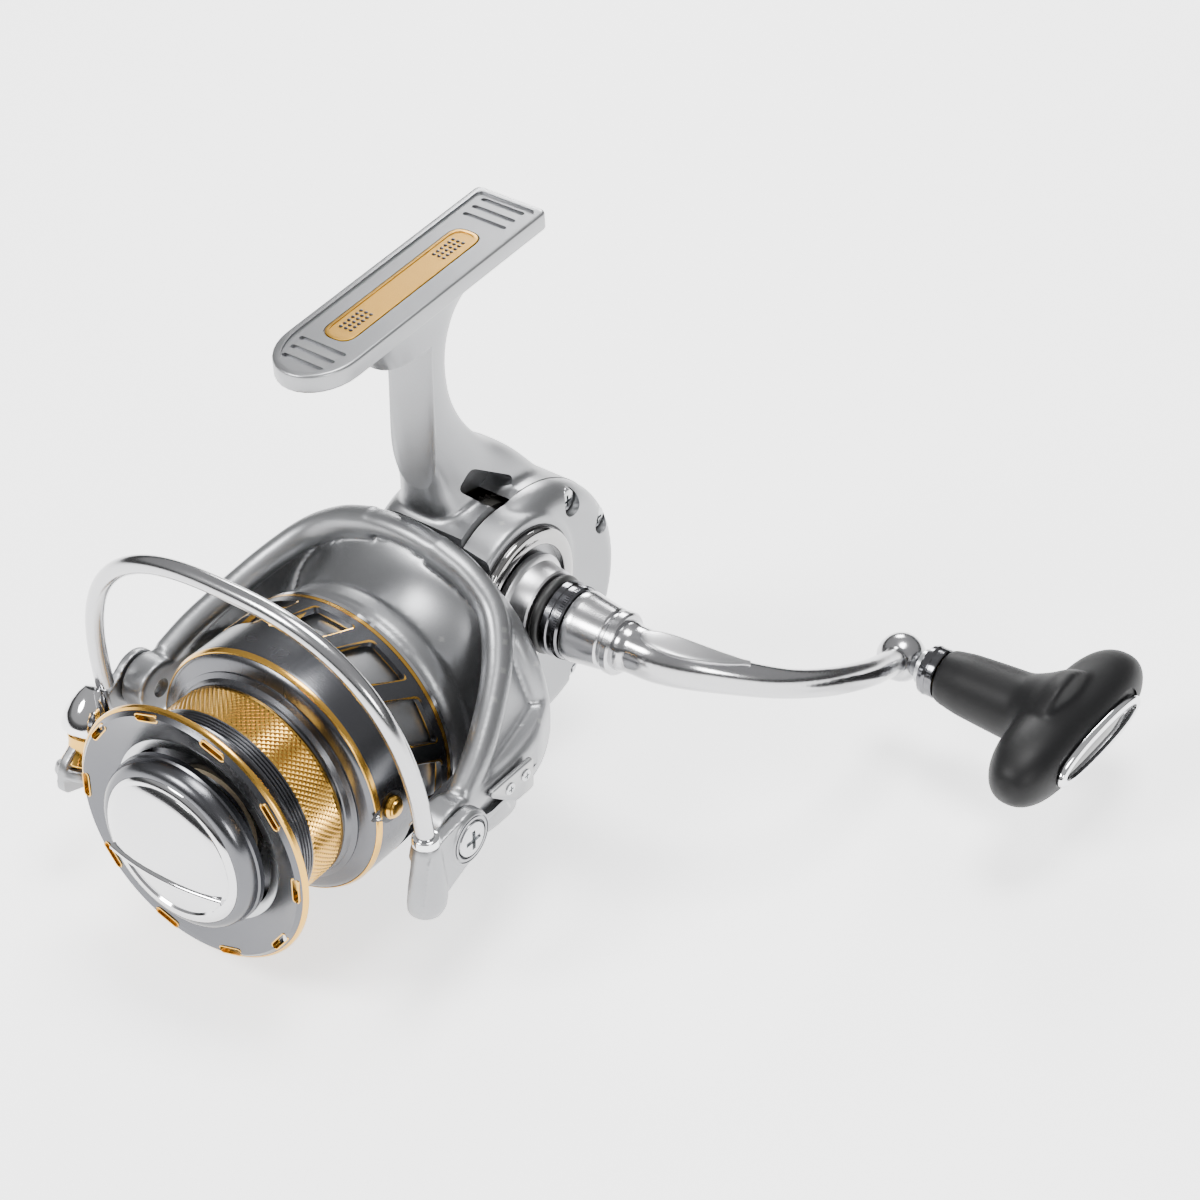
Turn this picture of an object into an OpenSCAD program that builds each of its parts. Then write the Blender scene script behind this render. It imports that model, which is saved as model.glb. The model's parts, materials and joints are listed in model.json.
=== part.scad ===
// Spinning fishing reel, fixed spool size about 2500, with a front drag and a right-hand handle.
// Origin at the centre of the foot's seat face. The spool looks along -Y, the handle leaves along +X,
// and the foot is at the top, so the spool axis runs along Y below the foot.

/* [Layout] */
// Distance from the foot's seat face down to the spool axis
axis_drop = 70; // [64:0.5:76]
// Tilt of the seat face against the spool axis, in degrees
foot_tilt = 3.5; // [0:0.5:5]
// Handle axis, distance behind the middle of the foot
crank_back = 9; // [8:0.5:11]
// Handle axis, height above the spool axis
crank_rise = 11.3; // [11.3:0.1:11.3]

/* [Foot and stem] */
// Length of the foot
foot_len = 54.5; // [50:0.5:60]
// Width of the foot
foot_w = 13.4; // [12:0.1:15]
// Thickness of the foot plate
foot_t = 3.2; // [2.6:0.1:4]
// Length of the inlay plate in the seat face
inlay_len = 33; // [26:1:36]
// Width of the stem
stem_w = 7.4; // [6.5:0.1:8]

/* [Gear case] */
// Radius of the round gear case
case_r = 22.5; // [22.3:0.1:23]
// Handle side of the case, measured from the spool axis
case_right = 14.2; // [14:0.1:15]
// Plain side of the case, measured from the spool axis
case_left = 8.6; // [8.6:0.1:9]
// Where the side cover begins, measured from the spool axis
cover_split = 9; // [8.8:0.1:9.4]
// Wall thickness of the case
wall = 1.4; // [1.2:0.1:2]
// Radius of the neck that carries the clutch
neck_r = 15.5; // [14.5:0.5:16]

/* [Spool] */
// Radius of the spool's front lip
lip_r = 22.5; // [21.5:0.1:23]
// Front face of the lip, measured from the middle of the foot
lip_y = -56.2; // [-58:0.1:-55]
// Radius of the arbor that carries the line
arbor_r = 17.4; // [16.5:0.1:18]
// Outer radius of the skirt
skirt_r = 21.7; // [21.4:0.1:21.8]
// Rear edge of the skirt
skirt_y = -18.8; // [-20:0.1:-18.5]

/* [Rotor and bail] */
// Outer radius of the rotor's drum under the skirt
drum_r = 19.8; // [19:0.1:20]
// Outer radius of the flared rear edge
flare_r = 27.2; // [26.5:0.1:27.5]
// Half of the bail wire's span
pivot_x = 32.4; // [31.8:0.1:32.8]
// Place of the bail pivots along the spool axis
pivot_y = -31.5; // [-33:0.5:-30]
// Height of the bail wire's arch
bail_h = 38.8; // [36:0.1:39.5]
// Diameter of the bail wire
wire_d = 3; // [2:0.1:3.2]

/* [Handle] */
// Length of the handle arm from the crank axis to the knob axis
arm_len = 50.6; // [46:0.1:55]
// Angle of the handle arm below the horizontal, in degrees
arm_angle = 24.5; // [0:0.5:90]
// Place of the knob's inner end along X
knob_x = 57.9; // [56:0.1:60]
// Width of the T-shaped knob
knob_w = 41; // [36:0.5:44]

/* [Gears] */
// Teeth of the drive gear
drive_teeth = 52; // [52:1:52]
// Teeth of the pinion
pinion_teeth = 10; // [10:1:10]
// Teeth of the spur gear on the crank shaft
spur_teeth = 16; // [16:1:16]
// Teeth of the oscillation gear
osc_teeth = 32; // [32:1:32]
// Module of the spur pair
spur_module = 0.56; // [0.56:0.01:0.56]

/* [Hidden] */
$fn = 96;
eps = 0.01;
az = -axis_drop;
cy = crank_back;
cz = -axis_drop + crank_rise;
run = 0.05;
shaft_r = 2;
crank_r = 3.5;
// Face gear and pinion: both meet where the pinion's helix lies along the gear's tooth
mesh_r = 13.2;
helix = 48;
mesh_a = sqrt(mesh_r * mesh_r - crank_rise * crank_rise);
ratio = drive_teeth / pinion_teeth;
pinion_r = (crank_rise * tan(helix) + mesh_a) / ratio;
pinion_y0 = -1.2;
pinion_y1 = 5.7;
pinion_end = 11.3;
face_x = 4.65;
face_tip_x = 3.4;
gear_r = 14.1;
tooth_root = 0.28;
tooth_top = 0.12;
gear_room = 0.3;
neck_y = -14;
neck_len = 15.5;
plate_screw_r = 9.4;
// Spur pair behind the crank shaft
spur_r = spur_teeth * spur_module / 2;
osc_r = osc_teeth * spur_module / 2;
osc_dist = spur_r + osc_r + 0.12;
osc_dir = -25.8;
oy = cy + osc_dist * cos(osc_dir);
oz = cz + osc_dist * sin(osc_dir);
spur_x = -6.1;
spur_w = 1.8;
eccentric = 6.6;
// Case
case_y = 14.5;
case_z = az + 4;
bearing_or = 6.5;
screw_ring = 19.6;
left_or = 5.4;
bushing_or = 3.2;
// Rotor
drum_y = -28;
flare_y = -13.5;
flare_len = 12;
web_y = -22.25;
web_t = 2.6;
rotor_wall = 1.6;
arm_half = 4;
arm_in = 27.6;
arm_out = 32.2;
boss_r = 4.7;
cover_screw_y = [12, 16];
rail_r = 2;
lever_y = -20;
// Spool
lip_t = 2.6;
skirt_front = -36.9;
skirt_t = 1.1;
bore_r = 4.1;
band_y = -47.6;
band_w = 7;
// Bail. The line roller's axis leans forward by roller_dir degrees.
arm_plate = 1.6;
pivot_gap = 0.35;
wire_y = -38.6;
wire_base = 3.6;
roller_dir = 26;
roller_x = -33.2;
roller_y = -45.6;
roller_z = az - 7.4;
// Handle, stations along X
collar_x = case_right + 0.6;
seal_x = 20;
ring_x = 22;
cone_x = 25.5;
hub_x = 35;
arm_out_x = [0, 6.5, 13.1, 20.6, 24, 24.9, 24];
arm_r = [0, 0.6, 4.4, 12.6, 22.5, 34.5, 44];

// ---- helpers -------------------------------------------------------------------------------

// Turns a shape built around Z into one around the spool axis, Z becoming +Y
module on_spool_axis(y = 0) {
    translate([0, y, az]) rotate([-90, 0, 0]) children();
}

// Turns a shape built around Z into one around the crank axis, Z becoming +X
module on_crank_axis(x = 0) {
    translate([x, cy, cz]) rotate([0, 90, 0]) children();
}

// A ring around Z
module tube(h, ro, ri) {
    difference() {
        cylinder(h = h, r = ro);
        translate([0, 0, -1]) cylinder(h = h + 2, r = ri);
    }
}

// An outline in the YZ plane, given thickness along X
module side_plate(x, t) {
    translate([x, 0, 0]) rotate([90, 0, 90]) linear_extrude(t) children();
}

// A pan-head screw along Z, head up, with a cross recess
module screw(head_r, head_h, r, len) {
    difference() {
        union() {
            cylinder(h = head_h, r = head_r, $fn = 48);
            translate([0, 0, -len]) cylinder(h = len + eps, r = r, $fn = 48);
        }
        for (a = [0, 90])
            rotate(a) translate([-head_r * 0.6, -head_r * 0.13, head_h * 0.45])
                cube([head_r * 1.2, head_r * 0.26, head_h]);
    }
}

// Outline of a spur gear with straight-flanked teeth, one tooth centred on X
module gear_outline(teeth, pitch_r, tip, root) {
    step = 360 / teeth;
    base = pitch_r - root;
    top = pitch_r + tip;
    polygon([
        for (i = [0:teeth - 1], k = [-0.25, -0.10, 0.10, 0.25])
            let (a = step * (i + k), r = abs(k) > 0.2 ? base : top)
            [r * cos(a), r * sin(a)]
    ]);
}

// Ball bearing: two races, with the balls' space closed by shields
module ball_bearing(h, ro, ri) {
    mid = (ro + ri) / 2;
    gap = (ro - ri) * 0.16;
    difference() {
        tube(h, ro, ri);
        for (z = [-eps, h - 0.3])
            translate([0, 0, z]) tube(0.3 + eps, mid + gap, mid - gap);
    }
}

// A rounded rectangle, built from its straight parts and four corner circles
module round_rect(a, b, r) {
    square([a - 2 * r, b], center = true);
    square([a, b - 2 * r], center = true);
    for (i = [-1, 1], j = [-1, 1])
        translate([i * (a / 2 - r), j * (b / 2 - r)]) circle(r = r, $fn = 48);
}

// Solid that the turning rotor needs, grown by a clearance
module rotor_space(gap) {
    on_spool_axis()
        rotate_extrude()
            polygon(concat(
                [[drum_r - rotor_wall - gap, web_y - 6]],
                [for (t = [0:6:90])
                    [drum_r + (flare_r - drum_r) * (1 - cos(t)) - rotor_wall - gap,
                     flare_y + flare_len * sin(t)]],
                [[flare_r - rotor_wall - gap, gap], [60, gap], [60, web_y - 6]]
            ));
}

// ---- fixed body ----------------------------------------------------------------------------

// Foot seen from above, square at the rear and round at the front
module foot_outline(inset) {
    w = foot_w - 2 * inset;
    len = foot_len - 2 * inset;
    front = w * 0.42;
    translate([0, front / 2]) square([w, len - front], center = true);
    translate([0, -len / 2 + front]) circle(r = front);
    for (s = [-1, 1])
        translate([s * (w / 2 - front * 0.75), -len / 2 + front]) circle(r = front * 0.75);
}

// Three shallow lightening slots near one end of the foot
module foot_slots(y, bow) {
    for (i = [-1:1])
        translate([0, y + i * 2.3, -0.9])
            linear_extrude(1.2) round_rect(foot_w - 5.2 - bow * i, 0.9, 0.44);
}

module foot() {
    rotate([foot_tilt, 0, 0])
        difference() {
            translate([0, 0, -foot_t]) linear_extrude(foot_t) foot_outline(0);
            translate([0, 0, -0.9]) linear_extrude(1) round_rect(5.6, inlay_len + 0.4, 2.7);
            foot_slots(22.4, 0);
            foot_slots(-21.6, 0.5);
        }
}

// Stem, wide at the foot, slim in the middle, spreading into the case
module stem() {
    side_plate(-stem_w / 2, stem_w)
        polygon([
            [-14, -foot_t + 0.6], [-9, -7], [-6, -12], [-4.5, -18], [-2.8, -24], [-0.6, -30],
            [1.4, -37], [1, -46],
            [12, -50], [28, -48], [21, -40.5], [14.4, -35], [9.6, -29.5], [6.4, -23.5],
            [4.9, -17.5], [5.4, -12],
            [8, -7], [13.5, -foot_t + 0.9]
        ]);
}

// Side outline of the gear case
module case_outline(inset) {
    translate([case_y, case_z]) circle(r = case_r - inset);
    translate([cy, cz]) circle(r = 16.6 - inset);
}

module case_shell() {
    difference() {
        union() {
            difference() {
                side_plate(-case_left, case_left + cover_split) case_outline(0);
                rotor_space(0.8);
            }
            on_spool_axis(neck_y) cylinder(h = neck_len, r = neck_r);
        }
        difference() {
            side_plate(-case_left + wall, case_left + cover_split) case_outline(wall);
            rotor_space(0.8 + wall);
        }
        on_spool_axis(neck_y + wall) cylinder(h = neck_len - 2 * wall, r = neck_r - wall);
        on_spool_axis(-15) cylinder(h = 4, r = bearing_or);
        translate([cover_split, -20, az - 30]) cube([20, 60, 60]);
    }
}

// Wall boss that seats the left bearing, and the open-sided seat of the pinion's rear bushing
module case_bosses() {
    on_crank_axis(-case_left) tube(case_left - 6.2, bearing_or, left_or);
    difference() {
        translate([-case_left + wall - 0.1, 9, az - 7]) cube([case_left - wall + 2.9, 2.5, 10.6]);
        on_spool_axis(8) cylinder(h = 5, r = bushing_or);
        translate([0, 10, az - 4.2]) rotate([-90, 0, 0]) cylinder(h = 8, r = 0.9);
    }
}

module housing() {
    color("silver") {
        difference() {
            union() {
                foot();
                difference() {
                    stem();
                    side_plate(-case_left, 2 * case_left) case_outline(wall / 2);
                }
                case_shell();
                case_bosses();
                screw_places() translate([0, 0, -7.4]) cylinder(h = 4.8, r = 2.2, $fn = 48);
            }
            on_crank_axis(-case_left - 1) cylinder(h = 3, r = left_or - 0.6);
            on_crank_axis(-case_left + 0.25) cylinder(h = 3, r = left_or);
            on_crank_axis(face_tip_x - 0.5) cylinder(h = 4.4, r = gear_r + gear_room);
            plate_screw_places(neck_y - 0.5) cylinder(h = 2.6, r = 0.74, $fn = 48);
            screw_places() translate([0, 0, -7]) cylinder(h = 8, r = 0.85, $fn = 48);
        }
    }
}

// Places of the bearing plate's three screws, looking back along +Y
module plate_screw_places(y) {
    on_spool_axis(y)
        for (a = [30:120:270]) rotate(a) translate([plate_screw_r, 0, 0]) children();
}

// Places of the side cover's screws, looking out along +X
module screw_places() {
    for (a = [62, 28, 240, 300])
        translate([cover_split + 2.6, case_y + screw_ring * cos(a), case_z + screw_ring * sin(a)])
            rotate([0, 90, 0]) children();
}

// Cover on the handle side: a low dome with a flat round field about the handle
module side_cover() {
    depth = case_right - cover_split;
    color("silver")
        difference() {
            union() {
                difference() {
                    union() {
                        translate([cover_split, case_y, case_z]) rotate([0, 90, 0])
                            cylinder(h = depth, r1 = case_r - 0.1, r2 = case_r - 4.2);
                        on_crank_axis(cover_split) cylinder(h = depth, r = 14.2);
                    }
                    translate([cover_split - 1, case_y, case_z]) rotate([0, 90, 0])
                        cylinder(h = depth + 1 - wall, r = case_r - 5.6);
                    on_crank_axis(cover_split - 1) cylinder(h = depth + 1 - wall, r = 12.8);
                    rotor_space(1);
                }
                on_crank_axis(10) tube(case_right - 10, bearing_or + 1.3, bearing_or);
            }
            on_crank_axis(9) cylinder(h = 8, r = bearing_or - eps);
            screw_places() {
                translate([0, 0, -3]) cylinder(h = 4, r = 1.15, $fn = 48);
                cylinder(h = 6, r = 2.3, $fn = 48);
            }
        }
}

// Closing cap over the tail of the case
module rear_cover() {
    color("gainsboro")
        translate([0, case_y, case_z]) rotate([0, 90, 0])
            difference() {
                translate([0, 0, -7]) tube(15, case_r + 1.3, case_r + 0.1);
                translate([-40, -40, -20]) cube([80, 54, 40]);
                translate([-40, -40, -20]) cube([28, 80, 40]);
                translate([16, -40, -20]) cube([30, 80, 40]);
            }
}

module foot_inlay() {
    color("goldenrod")
        rotate([foot_tilt, 0, 0])
            difference() {
                translate([0, 0, -0.85]) linear_extrude(0.65) round_rect(5.3, inlay_len, 2.6);
                for (s = [-1, 1], i = [0:2], j = [-1:1])
                    translate([j * 1.1, s * (inlay_len / 2 - 2.2 - i * 1.1), -0.35])
                        cylinder(h = 1, r = 0.3, $fn = 24);
            }
}

module case_screws() {
    color("dimgray") screw_places() translate([0, 0, 0.02]) screw(2, 0.9, 0.8, 6.8);
}

// Bright ring round the handle's opening, and the bearing's retaining ring in one turning
module cover_bezel() {
    color("whitesmoke")
        on_crank_axis(case_right + 0.02)
            rotate_extrude() polygon([[9.8, 0], [12.5, 0], [12.5, 0.5], [11.2, 1.5], [9.8, 1.1]]);
}

module left_bearing() {
    color("lightsteelblue") on_crank_axis(-case_left + 0.27) ball_bearing(2, left_or - 0.02, crank_r + run);
}

module right_bearing() {
    color("lightsteelblue")
        on_crank_axis(case_right - 3.7) ball_bearing(3.5, bearing_or - 0.02, crank_r + run);
}

module pinion_bearing() {
    color("lightsteelblue") on_spool_axis(-14) ball_bearing(3, bearing_or, 3.35);
}

module rear_bushing() {
    color("peru") on_spool_axis(9.1) tube(2.3, bushing_or, 2.9);
}

// Plate that holds the pinion bearing in the neck
module bearing_plate() {
    color("lightgray")
        difference() {
            on_spool_axis(neck_y - 0.8) tube(0.75, 12, 5.2);
            plate_screw_places(neck_y - 2) cylinder(h = 3, r = 0.9, $fn = 48);
        }
}

module plate_screws() {
    color("dimgray") plate_screw_places(neck_y - 0.82) mirror([0, 0, 1]) screw(1.5, 0.5, 0.7, 2.1);
}

// Anti-reverse clutch: outer race with ramps, pressed on the plate
module clutch_case() {
    color("slategray")
        on_spool_axis(-19)
            difference() {
                cylinder(h = 3.5, r = 9);
                translate([0, 0, -1]) cylinder(h = 6, r = 5);
                for (a = [0:60:300]) rotate(a) translate([5.3, 0, 0.5]) cylinder(h = 2.4, r = 1.35, $fn = 48);
            }
}

module clutch_rollers() {
    color("silver")
        on_spool_axis(-18.4)
            for (a = [0:60:300]) rotate(a) translate([5.55, 0, 0]) cylinder(h = 2.2, r = 1, $fn = 48);
}

module osc_stud() {
    color("darkgray")
        translate([-case_left + wall + 0.02, oy, oz]) rotate([0, 90, 0]) {
            cylinder(h = 0.9, r = 2.6);
            cylinder(h = 2.6, r = 1.6);
        }
}

// Rod that keeps the slider upright
module guide_rod() {
    color("silver") translate([0, 10.02, az - 4.2]) rotate([-90, 0, 0]) cylinder(h = 23.4, r = 0.9);
}

// Knurled cap over the unused handle socket
module dust_cap() {
    color("dimgray")
        on_crank_axis(-case_left - 3.6)
            difference() {
                union() {
                    cylinder(h = 2.9, r = 6.4);
                    cylinder(h = 3.58, r = 5.6);
                    for (a = [0:12:348])
                        rotate(a) translate([6.4, 0, 0.4]) cylinder(h = 2.2, r = 0.35, $fn = 24);
                }
                translate([0, 0, 1.4]) cylinder(h = 4, r = 4);
            }
}

// ---- crank ---------------------------------------------------------------------------------

// Face gear: straight teeth, skewed so that each lies along the pinion's helix where they meet
module drive_gear() {
    step = 360 / drive_teeth;
    color("darkkhaki")
        translate([0, cy, cz]) rotate([90, 0, 90])
            difference() {
                union() {
                    translate([0, 0, face_x]) cylinder(h = 2.2, r = gear_r);
                    translate([0, 0, face_x]) cylinder(h = 4, r = 6);
                    intersection() {
                        translate([0, 0, face_tip_x]) tube(face_x - face_tip_x + eps, gear_r, 12.5);
                        for (i = [0:drive_teeth - 1])
                            rotate(step * (i + 0.5))
                                translate([-mesh_a, -crank_rise, 0]) rotate(helix)
                                    translate([-5, 0, 0]) rotate([90, 0, 90]) linear_extrude(10)
                                        polygon([
                                            [-tooth_root, face_x], [-tooth_top, face_tip_x],
                                            [tooth_top, face_tip_x], [tooth_root, face_x]
                                        ]);
                    }
                }
                translate([0, 0, -1]) cylinder(h = 20, r = crank_r);
                for (a = [0:60:300]) rotate(a) translate([9.4, 0, 0]) cylinder(h = 20, r = 1.7, $fn = 48);
            }
}

module drive_shaft() {
    color("lightslategray")
        difference() {
            on_crank_axis(-case_left + 0.3) cylinder(h = case_left + seal_x - 1.3, r = crank_r);
            on_crank_axis(-case_left - 1) cylinder(h = 7, r = 1.9);
        }
}

module spur_gear() {
    color("darkgoldenrod")
        translate([spur_x, cy, cz]) rotate([90, 0, 90])
            difference() {
                linear_extrude(spur_w) rotate(osc_dir) gear_outline(spur_teeth, spur_r, 0.4, 0.62);
                translate([0, 0, -1]) cylinder(h = 6, r = crank_r);
            }
}

module handle_collar() {
    color("silver")
        on_crank_axis(collar_x)
            rotate_extrude()
                polygon([[crank_r, 0], [8.4, 0], [8.4, 1.2], [7.3, 1.9], [6.9, 5.1], [crank_r, 5.1]]);
}

module handle_seal() {
    color("black")
        on_crank_axis(seal_x) rotate_extrude() polygon([[2, 0], [6.4, 0], [6.6, 0.5], [6.3, 1.9], [2, 1.9]]);
}

module lock_ring() {
    color("dimgray")
        on_crank_axis(ring_x)
            difference() {
                union() {
                    cylinder(h = 3.4, r = 6.3);
                    for (a = [0:12:348])
                        rotate(a) translate([6.25, 0, 1.6]) cylinder(h = 1.4, r = 0.25, $fn = 24);
                }
                translate([0, 0, -1]) cylinder(h = 6, r = 2);
            }
}

module handle_cone() {
    color("gainsboro")
        on_crank_axis(cone_x)
            rotate_extrude()
                polygon([
                    [0, -6.4], [1.96, -6.4], [1.96, 0], [5.6, 0], [6, 0.8], [5.2, 6.6],
                    [4.8, 6.8], [4.8, 7.3],
                    [5.3, 7.6], [5.3, 9.1], [0, 9.1]
                ]);
}

arm_x = [for (x = arm_out_x) hub_x + x, knob_x];
arm_reach = [for (r = arm_r) r, arm_len];

function arm_point(i) = [arm_x[i], cy + arm_reach[i] * cos(arm_angle), cz - arm_reach[i] * sin(arm_angle)];

module handle_arm() {
    color("gainsboro") {
        for (i = [0:len(arm_x) - 2])
            hull() {
                translate(arm_point(i)) sphere(r = 3.7 - 0.18 * i, $fn = 24);
                translate(arm_point(i + 1)) sphere(r = 3.7 - 0.18 * (i + 1), $fn = 24);
            }
        translate(arm_point(7)) sphere(r = 4.4, $fn = 40);
    }
}

// Turns a shape built around Z into one around the knob's axis, Z becoming +X
module on_knob_axis(x = 0) {
    translate([x, cy + arm_len * cos(arm_angle), cz - arm_len * sin(arm_angle)])
        rotate([0, 90, 0]) children();
}

module knob_axle() {
    color("silver") on_knob_axis(knob_x + 4.38) {
        cylinder(h = 24, r = 2);
        cylinder(h = 0.8, r = 3);
    }
}

// ---- knob ----------------------------------------------------------------------------------

module knob_grip() {
    lobe = knob_w / 2 - 6.6;
    color("black")
        difference() {
            union() {
                on_knob_axis(knob_x + 8.2)
                    rotate_extrude()
                        polygon([
                            [0, 0], [4.6, 0], [5.6, 5], [5.9, 10], [6.2, 16], [7.4, 22], [7.4, 24], [0, 26]
                        ]);
                on_knob_axis(knob_x + 31.6) rotate([90, 0, 0]) {
                    translate([0, 0, -lobe]) cylinder(h = 2 * lobe, r = 6.6);
                    for (s = [-1, 1]) translate([0, 0, s * lobe]) sphere(r = 6.6);
                }
            }
            on_knob_axis(knob_x) cylinder(h = 30, r = 3.3);
            on_knob_axis(knob_x + 37.4) linear_extrude(3) round_rect(6, 25, 2.9);
        }
}

module knob_ferrule() {
    color("silver") on_knob_axis(knob_x + 5.2)
        rotate_extrude() polygon([[3.3, 0], [4, 0], [4.3, 0.5], [4.3, 2.9], [3.3, 2.9]]);
}

module knob_window() {
    color("dimgray") on_knob_axis(knob_x + 37.4) linear_extrude(0.7) round_rect(6, 25, 2.9);
}

module knob_bushings() {
    color("peru")
        for (x = [8.4, 23]) on_knob_axis(knob_x + x) tube(3, 3.3, 2 + run);
}

// ---- oscillation gear ----------------------------------------------------------------------

module oscillation_gear() {
    color("burlywood")
        translate([spur_x, oy, oz]) rotate([90, 0, 90])
            difference() {
                union() {
                    linear_extrude(spur_w)
                        rotate(osc_dir + 180 + 180 / osc_teeth) gear_outline(osc_teeth, osc_r, 0.4, 0.62);
                    translate([0, eccentric, 0]) cylinder(h = spur_w + 1.2, r = 1.4, $fn = 48);
                }
                translate([0, 0, -1]) cylinder(h = 6, r = 1.6 + run);
            }
}

// ---- main shaft ----------------------------------------------------------------------------

module main_shaft() {
    color("silver")
        difference() {
            on_spool_axis(-57.5) cylinder(h = 86, r = shaft_r);
            translate([-3, -47, az - 0.6]) cube([6, 1.2, 1.2]);
        }
}

// Slider that the eccentric pin pushes to and fro
module slider_block() {
    color("darkgray")
        difference() {
            union() {
                translate([-2.9, 21, az - 5.3]) cube([6.2, 6, 8.3]);
                translate([-2.9, 21, az - 5.3]) cube([1, 6, 19.3]);
            }
            on_spool_axis(20) cylinder(h = 8, r = shaft_r);
            translate([0, 20, az - 4.2]) rotate([-90, 0, 0]) cylinder(h = 8, r = 0.9 + run);
            translate([-3.5, 22.3, az - 3]) cube([1.2, 3.4, 16]);
            translate([1.5, 24, az]) rotate([0, 90, 0]) {
                cylinder(h = 3, r = 0.74, $fn = 48);
                translate([0, 0, 1.23]) cylinder(h = 2, r = 1.65, $fn = 48);
            }
        }
}

module slider_screw() {
    color("dimgray") translate([2.75, 24, az]) rotate([0, 90, 0]) screw(1.6, 0.5, 0.7, 0.6);
}

// Cross pin that carries the spool's click wheel
module drive_pin() {
    color("silver") translate([-5.4, -46.4, az]) rotate([0, 90, 0]) cylinder(h = 10.8, r = 0.55, $fn = 48);
}

// Wheel with small teeth, held by the cross pin, for the drag clicker
module click_wheel() {
    color("black")
        on_spool_axis(-45.6)
            difference() {
                linear_extrude(1.6) gear_outline(36, 7.4, 0.3, 0.3);
                translate([0, 0, -1]) cylinder(h = 6, r = shaft_r);
            }
}

// Drag washers keyed to the main shaft
module keyed_washers() {
    color("lightsteelblue")
        for (y = [-53.5, -51.9]) on_spool_axis(y) tube(0.5, 9, shaft_r);
}

// ---- rotor ---------------------------------------------------------------------------------

module pinion() {
    len = pinion_y1 - pinion_y0;
    turn = len * tan(helix) / pinion_r * 180 / PI;
    before = (cy - mesh_a - pinion_y0) * tan(helix) / pinion_r * 180 / PI;
    color("goldenrod") {
        on_spool_axis(pinion_y0)
            rotate(before)
                difference() {
                    linear_extrude(len, twist = turn, slices = 9)
                        gear_outline(pinion_teeth, pinion_r, 0.48, 0.62);
                    translate([0, 0, -1]) cylinder(h = 20, r = 2.3);
                }
        on_spool_axis(pinion_y1 - eps) tube(pinion_end - pinion_y1, 2.85, 2.3);
        on_spool_axis(-26) tube(26 + pinion_y0 + eps, 3.1, 2.3);
    }
}

module clutch_sleeve() {
    color("lightgray") on_spool_axis(-19.6) tube(4.4, 4.4, 3.1);
}

// Drum that the spool's skirt runs over, flaring into a wide rear edge
module rotor_drum() {
    on_spool_axis()
        rotate_extrude()
            polygon(concat(
                [[drum_r - rotor_wall, drum_y], [drum_r, drum_y]],
                [for (t = [0:6:90])
                    [drum_r + (flare_r - drum_r) * (1 - cos(t)), flare_y + flare_len * sin(t)]],
                [[flare_r + 0.4, -0.2], [flare_r - rotor_wall, -0.2]],
                [for (t = [84:-6:0])
                    [drum_r + (flare_r - drum_r) * (1 - cos(t)) - rotor_wall, flare_y + flare_len * sin(t)]]
            ));
}

// A round bar from one point to another
module bar(a, b, r) {
    d = b - a;
    translate(a) rotate([0, acos(d[2] / norm(d)), atan2(d[1], d[0])]) cylinder(h = norm(d), r = r, $fn = 48);
}

// One arm: a post outside the skirt, from the flare to the bail pivot, and the two rails of its loop
module rotor_arm() {
    translate([0, 0, az])
        difference() {
            union() {
                translate([0, 0, -arm_half]) linear_extrude(2 * arm_half)
                    polygon([
                        [arm_in - 1.7, -0.4], [arm_in - 2.7, -1.9], [arm_in - 2, -8], [arm_in - 0.6, -14],
                        [arm_in, pivot_y - 1],
                        [arm_out, pivot_y - 1], [arm_out + 0.05, -20], [arm_out - 2, -8], [flare_r, -0.2]
                    ]);
                for (s = [-1, 1]) {
                    bar([16.6, -3.2, s * 18.8], [24.6, -12.2, s * 12], rail_r);
                    bar([24.6, -12.2, s * 12], [arm_in + 2.2, -26, s * 3.6], rail_r);
                    translate([24.6, -12.2, s * 12]) sphere(r = rail_r + 0.25, $fn = 48);
                }
                translate([arm_in, pivot_y, 0]) rotate([0, 90, 0])
                    cylinder(h = arm_out - arm_in, r = boss_r);
            }
            translate([arm_in - 5, pivot_y, 0]) rotate([0, 90, 0]) cylinder(h = 20, r = 1.6 + run);
        }
}

module rotor() {
    color("silver") {
        difference() {
            union() {
                rotor_drum();
                on_spool_axis(web_y) cylinder(h = web_t, r = drum_r - rotor_wall + 0.2);
            }
            on_spool_axis(web_y - 1) cylinder(h = 6, r = 3.1);
            for (a = [45:90:315])
                on_spool_axis(web_y - 1) rotate(a) translate([11.5, 0, 0]) cylinder(h = 6, r = 2.6, $fn = 48);
        }
        rotor_arm();
        mirror([1, 0, 0]) rotor_arm();
    }
}

module rotor_nut() {
    color("goldenrod")
        on_spool_axis(web_y - 3) difference() {
            cylinder(h = 3, r = 6, $fn = 6);
            translate([0, 0, -1]) cylinder(h = 6, r = 3.1);
        }
}

module nut_lock() {
    color("silver")
        on_spool_axis(web_y - 0.9) difference() {
            cylinder(h = 0.85, r = 8.4);
            translate([0, 0, -1]) cylinder(h = 3, r = 6.1);
        }
}

// Cover plate on the outer face of an arm, seen beside the bail pivot
module arm_cover() {
    translate([arm_out - 0.9, 0, az])
        difference() {
            side_plate(0.97, 1)
                polygon([
                    [pivot_y + 7.4, 1.6], [pivot_y + 13.8, -3.2], [pivot_y + 18.4, -3.2],
                    [pivot_y + 18.4, 3.2], [pivot_y + 7.4, 3.2]
                ]);
            for (y = cover_screw_y)
                translate([-1, pivot_y + y, 0.8]) rotate([0, 90, 0]) cylinder(h = 4, r = 0.8, $fn = 48);
        }
}

module left_arm_cover() {
    color("darkslategray") mirror([1, 0, 0]) arm_cover();
}

module right_arm_cover() {
    color("silver") arm_cover();
}

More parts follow.
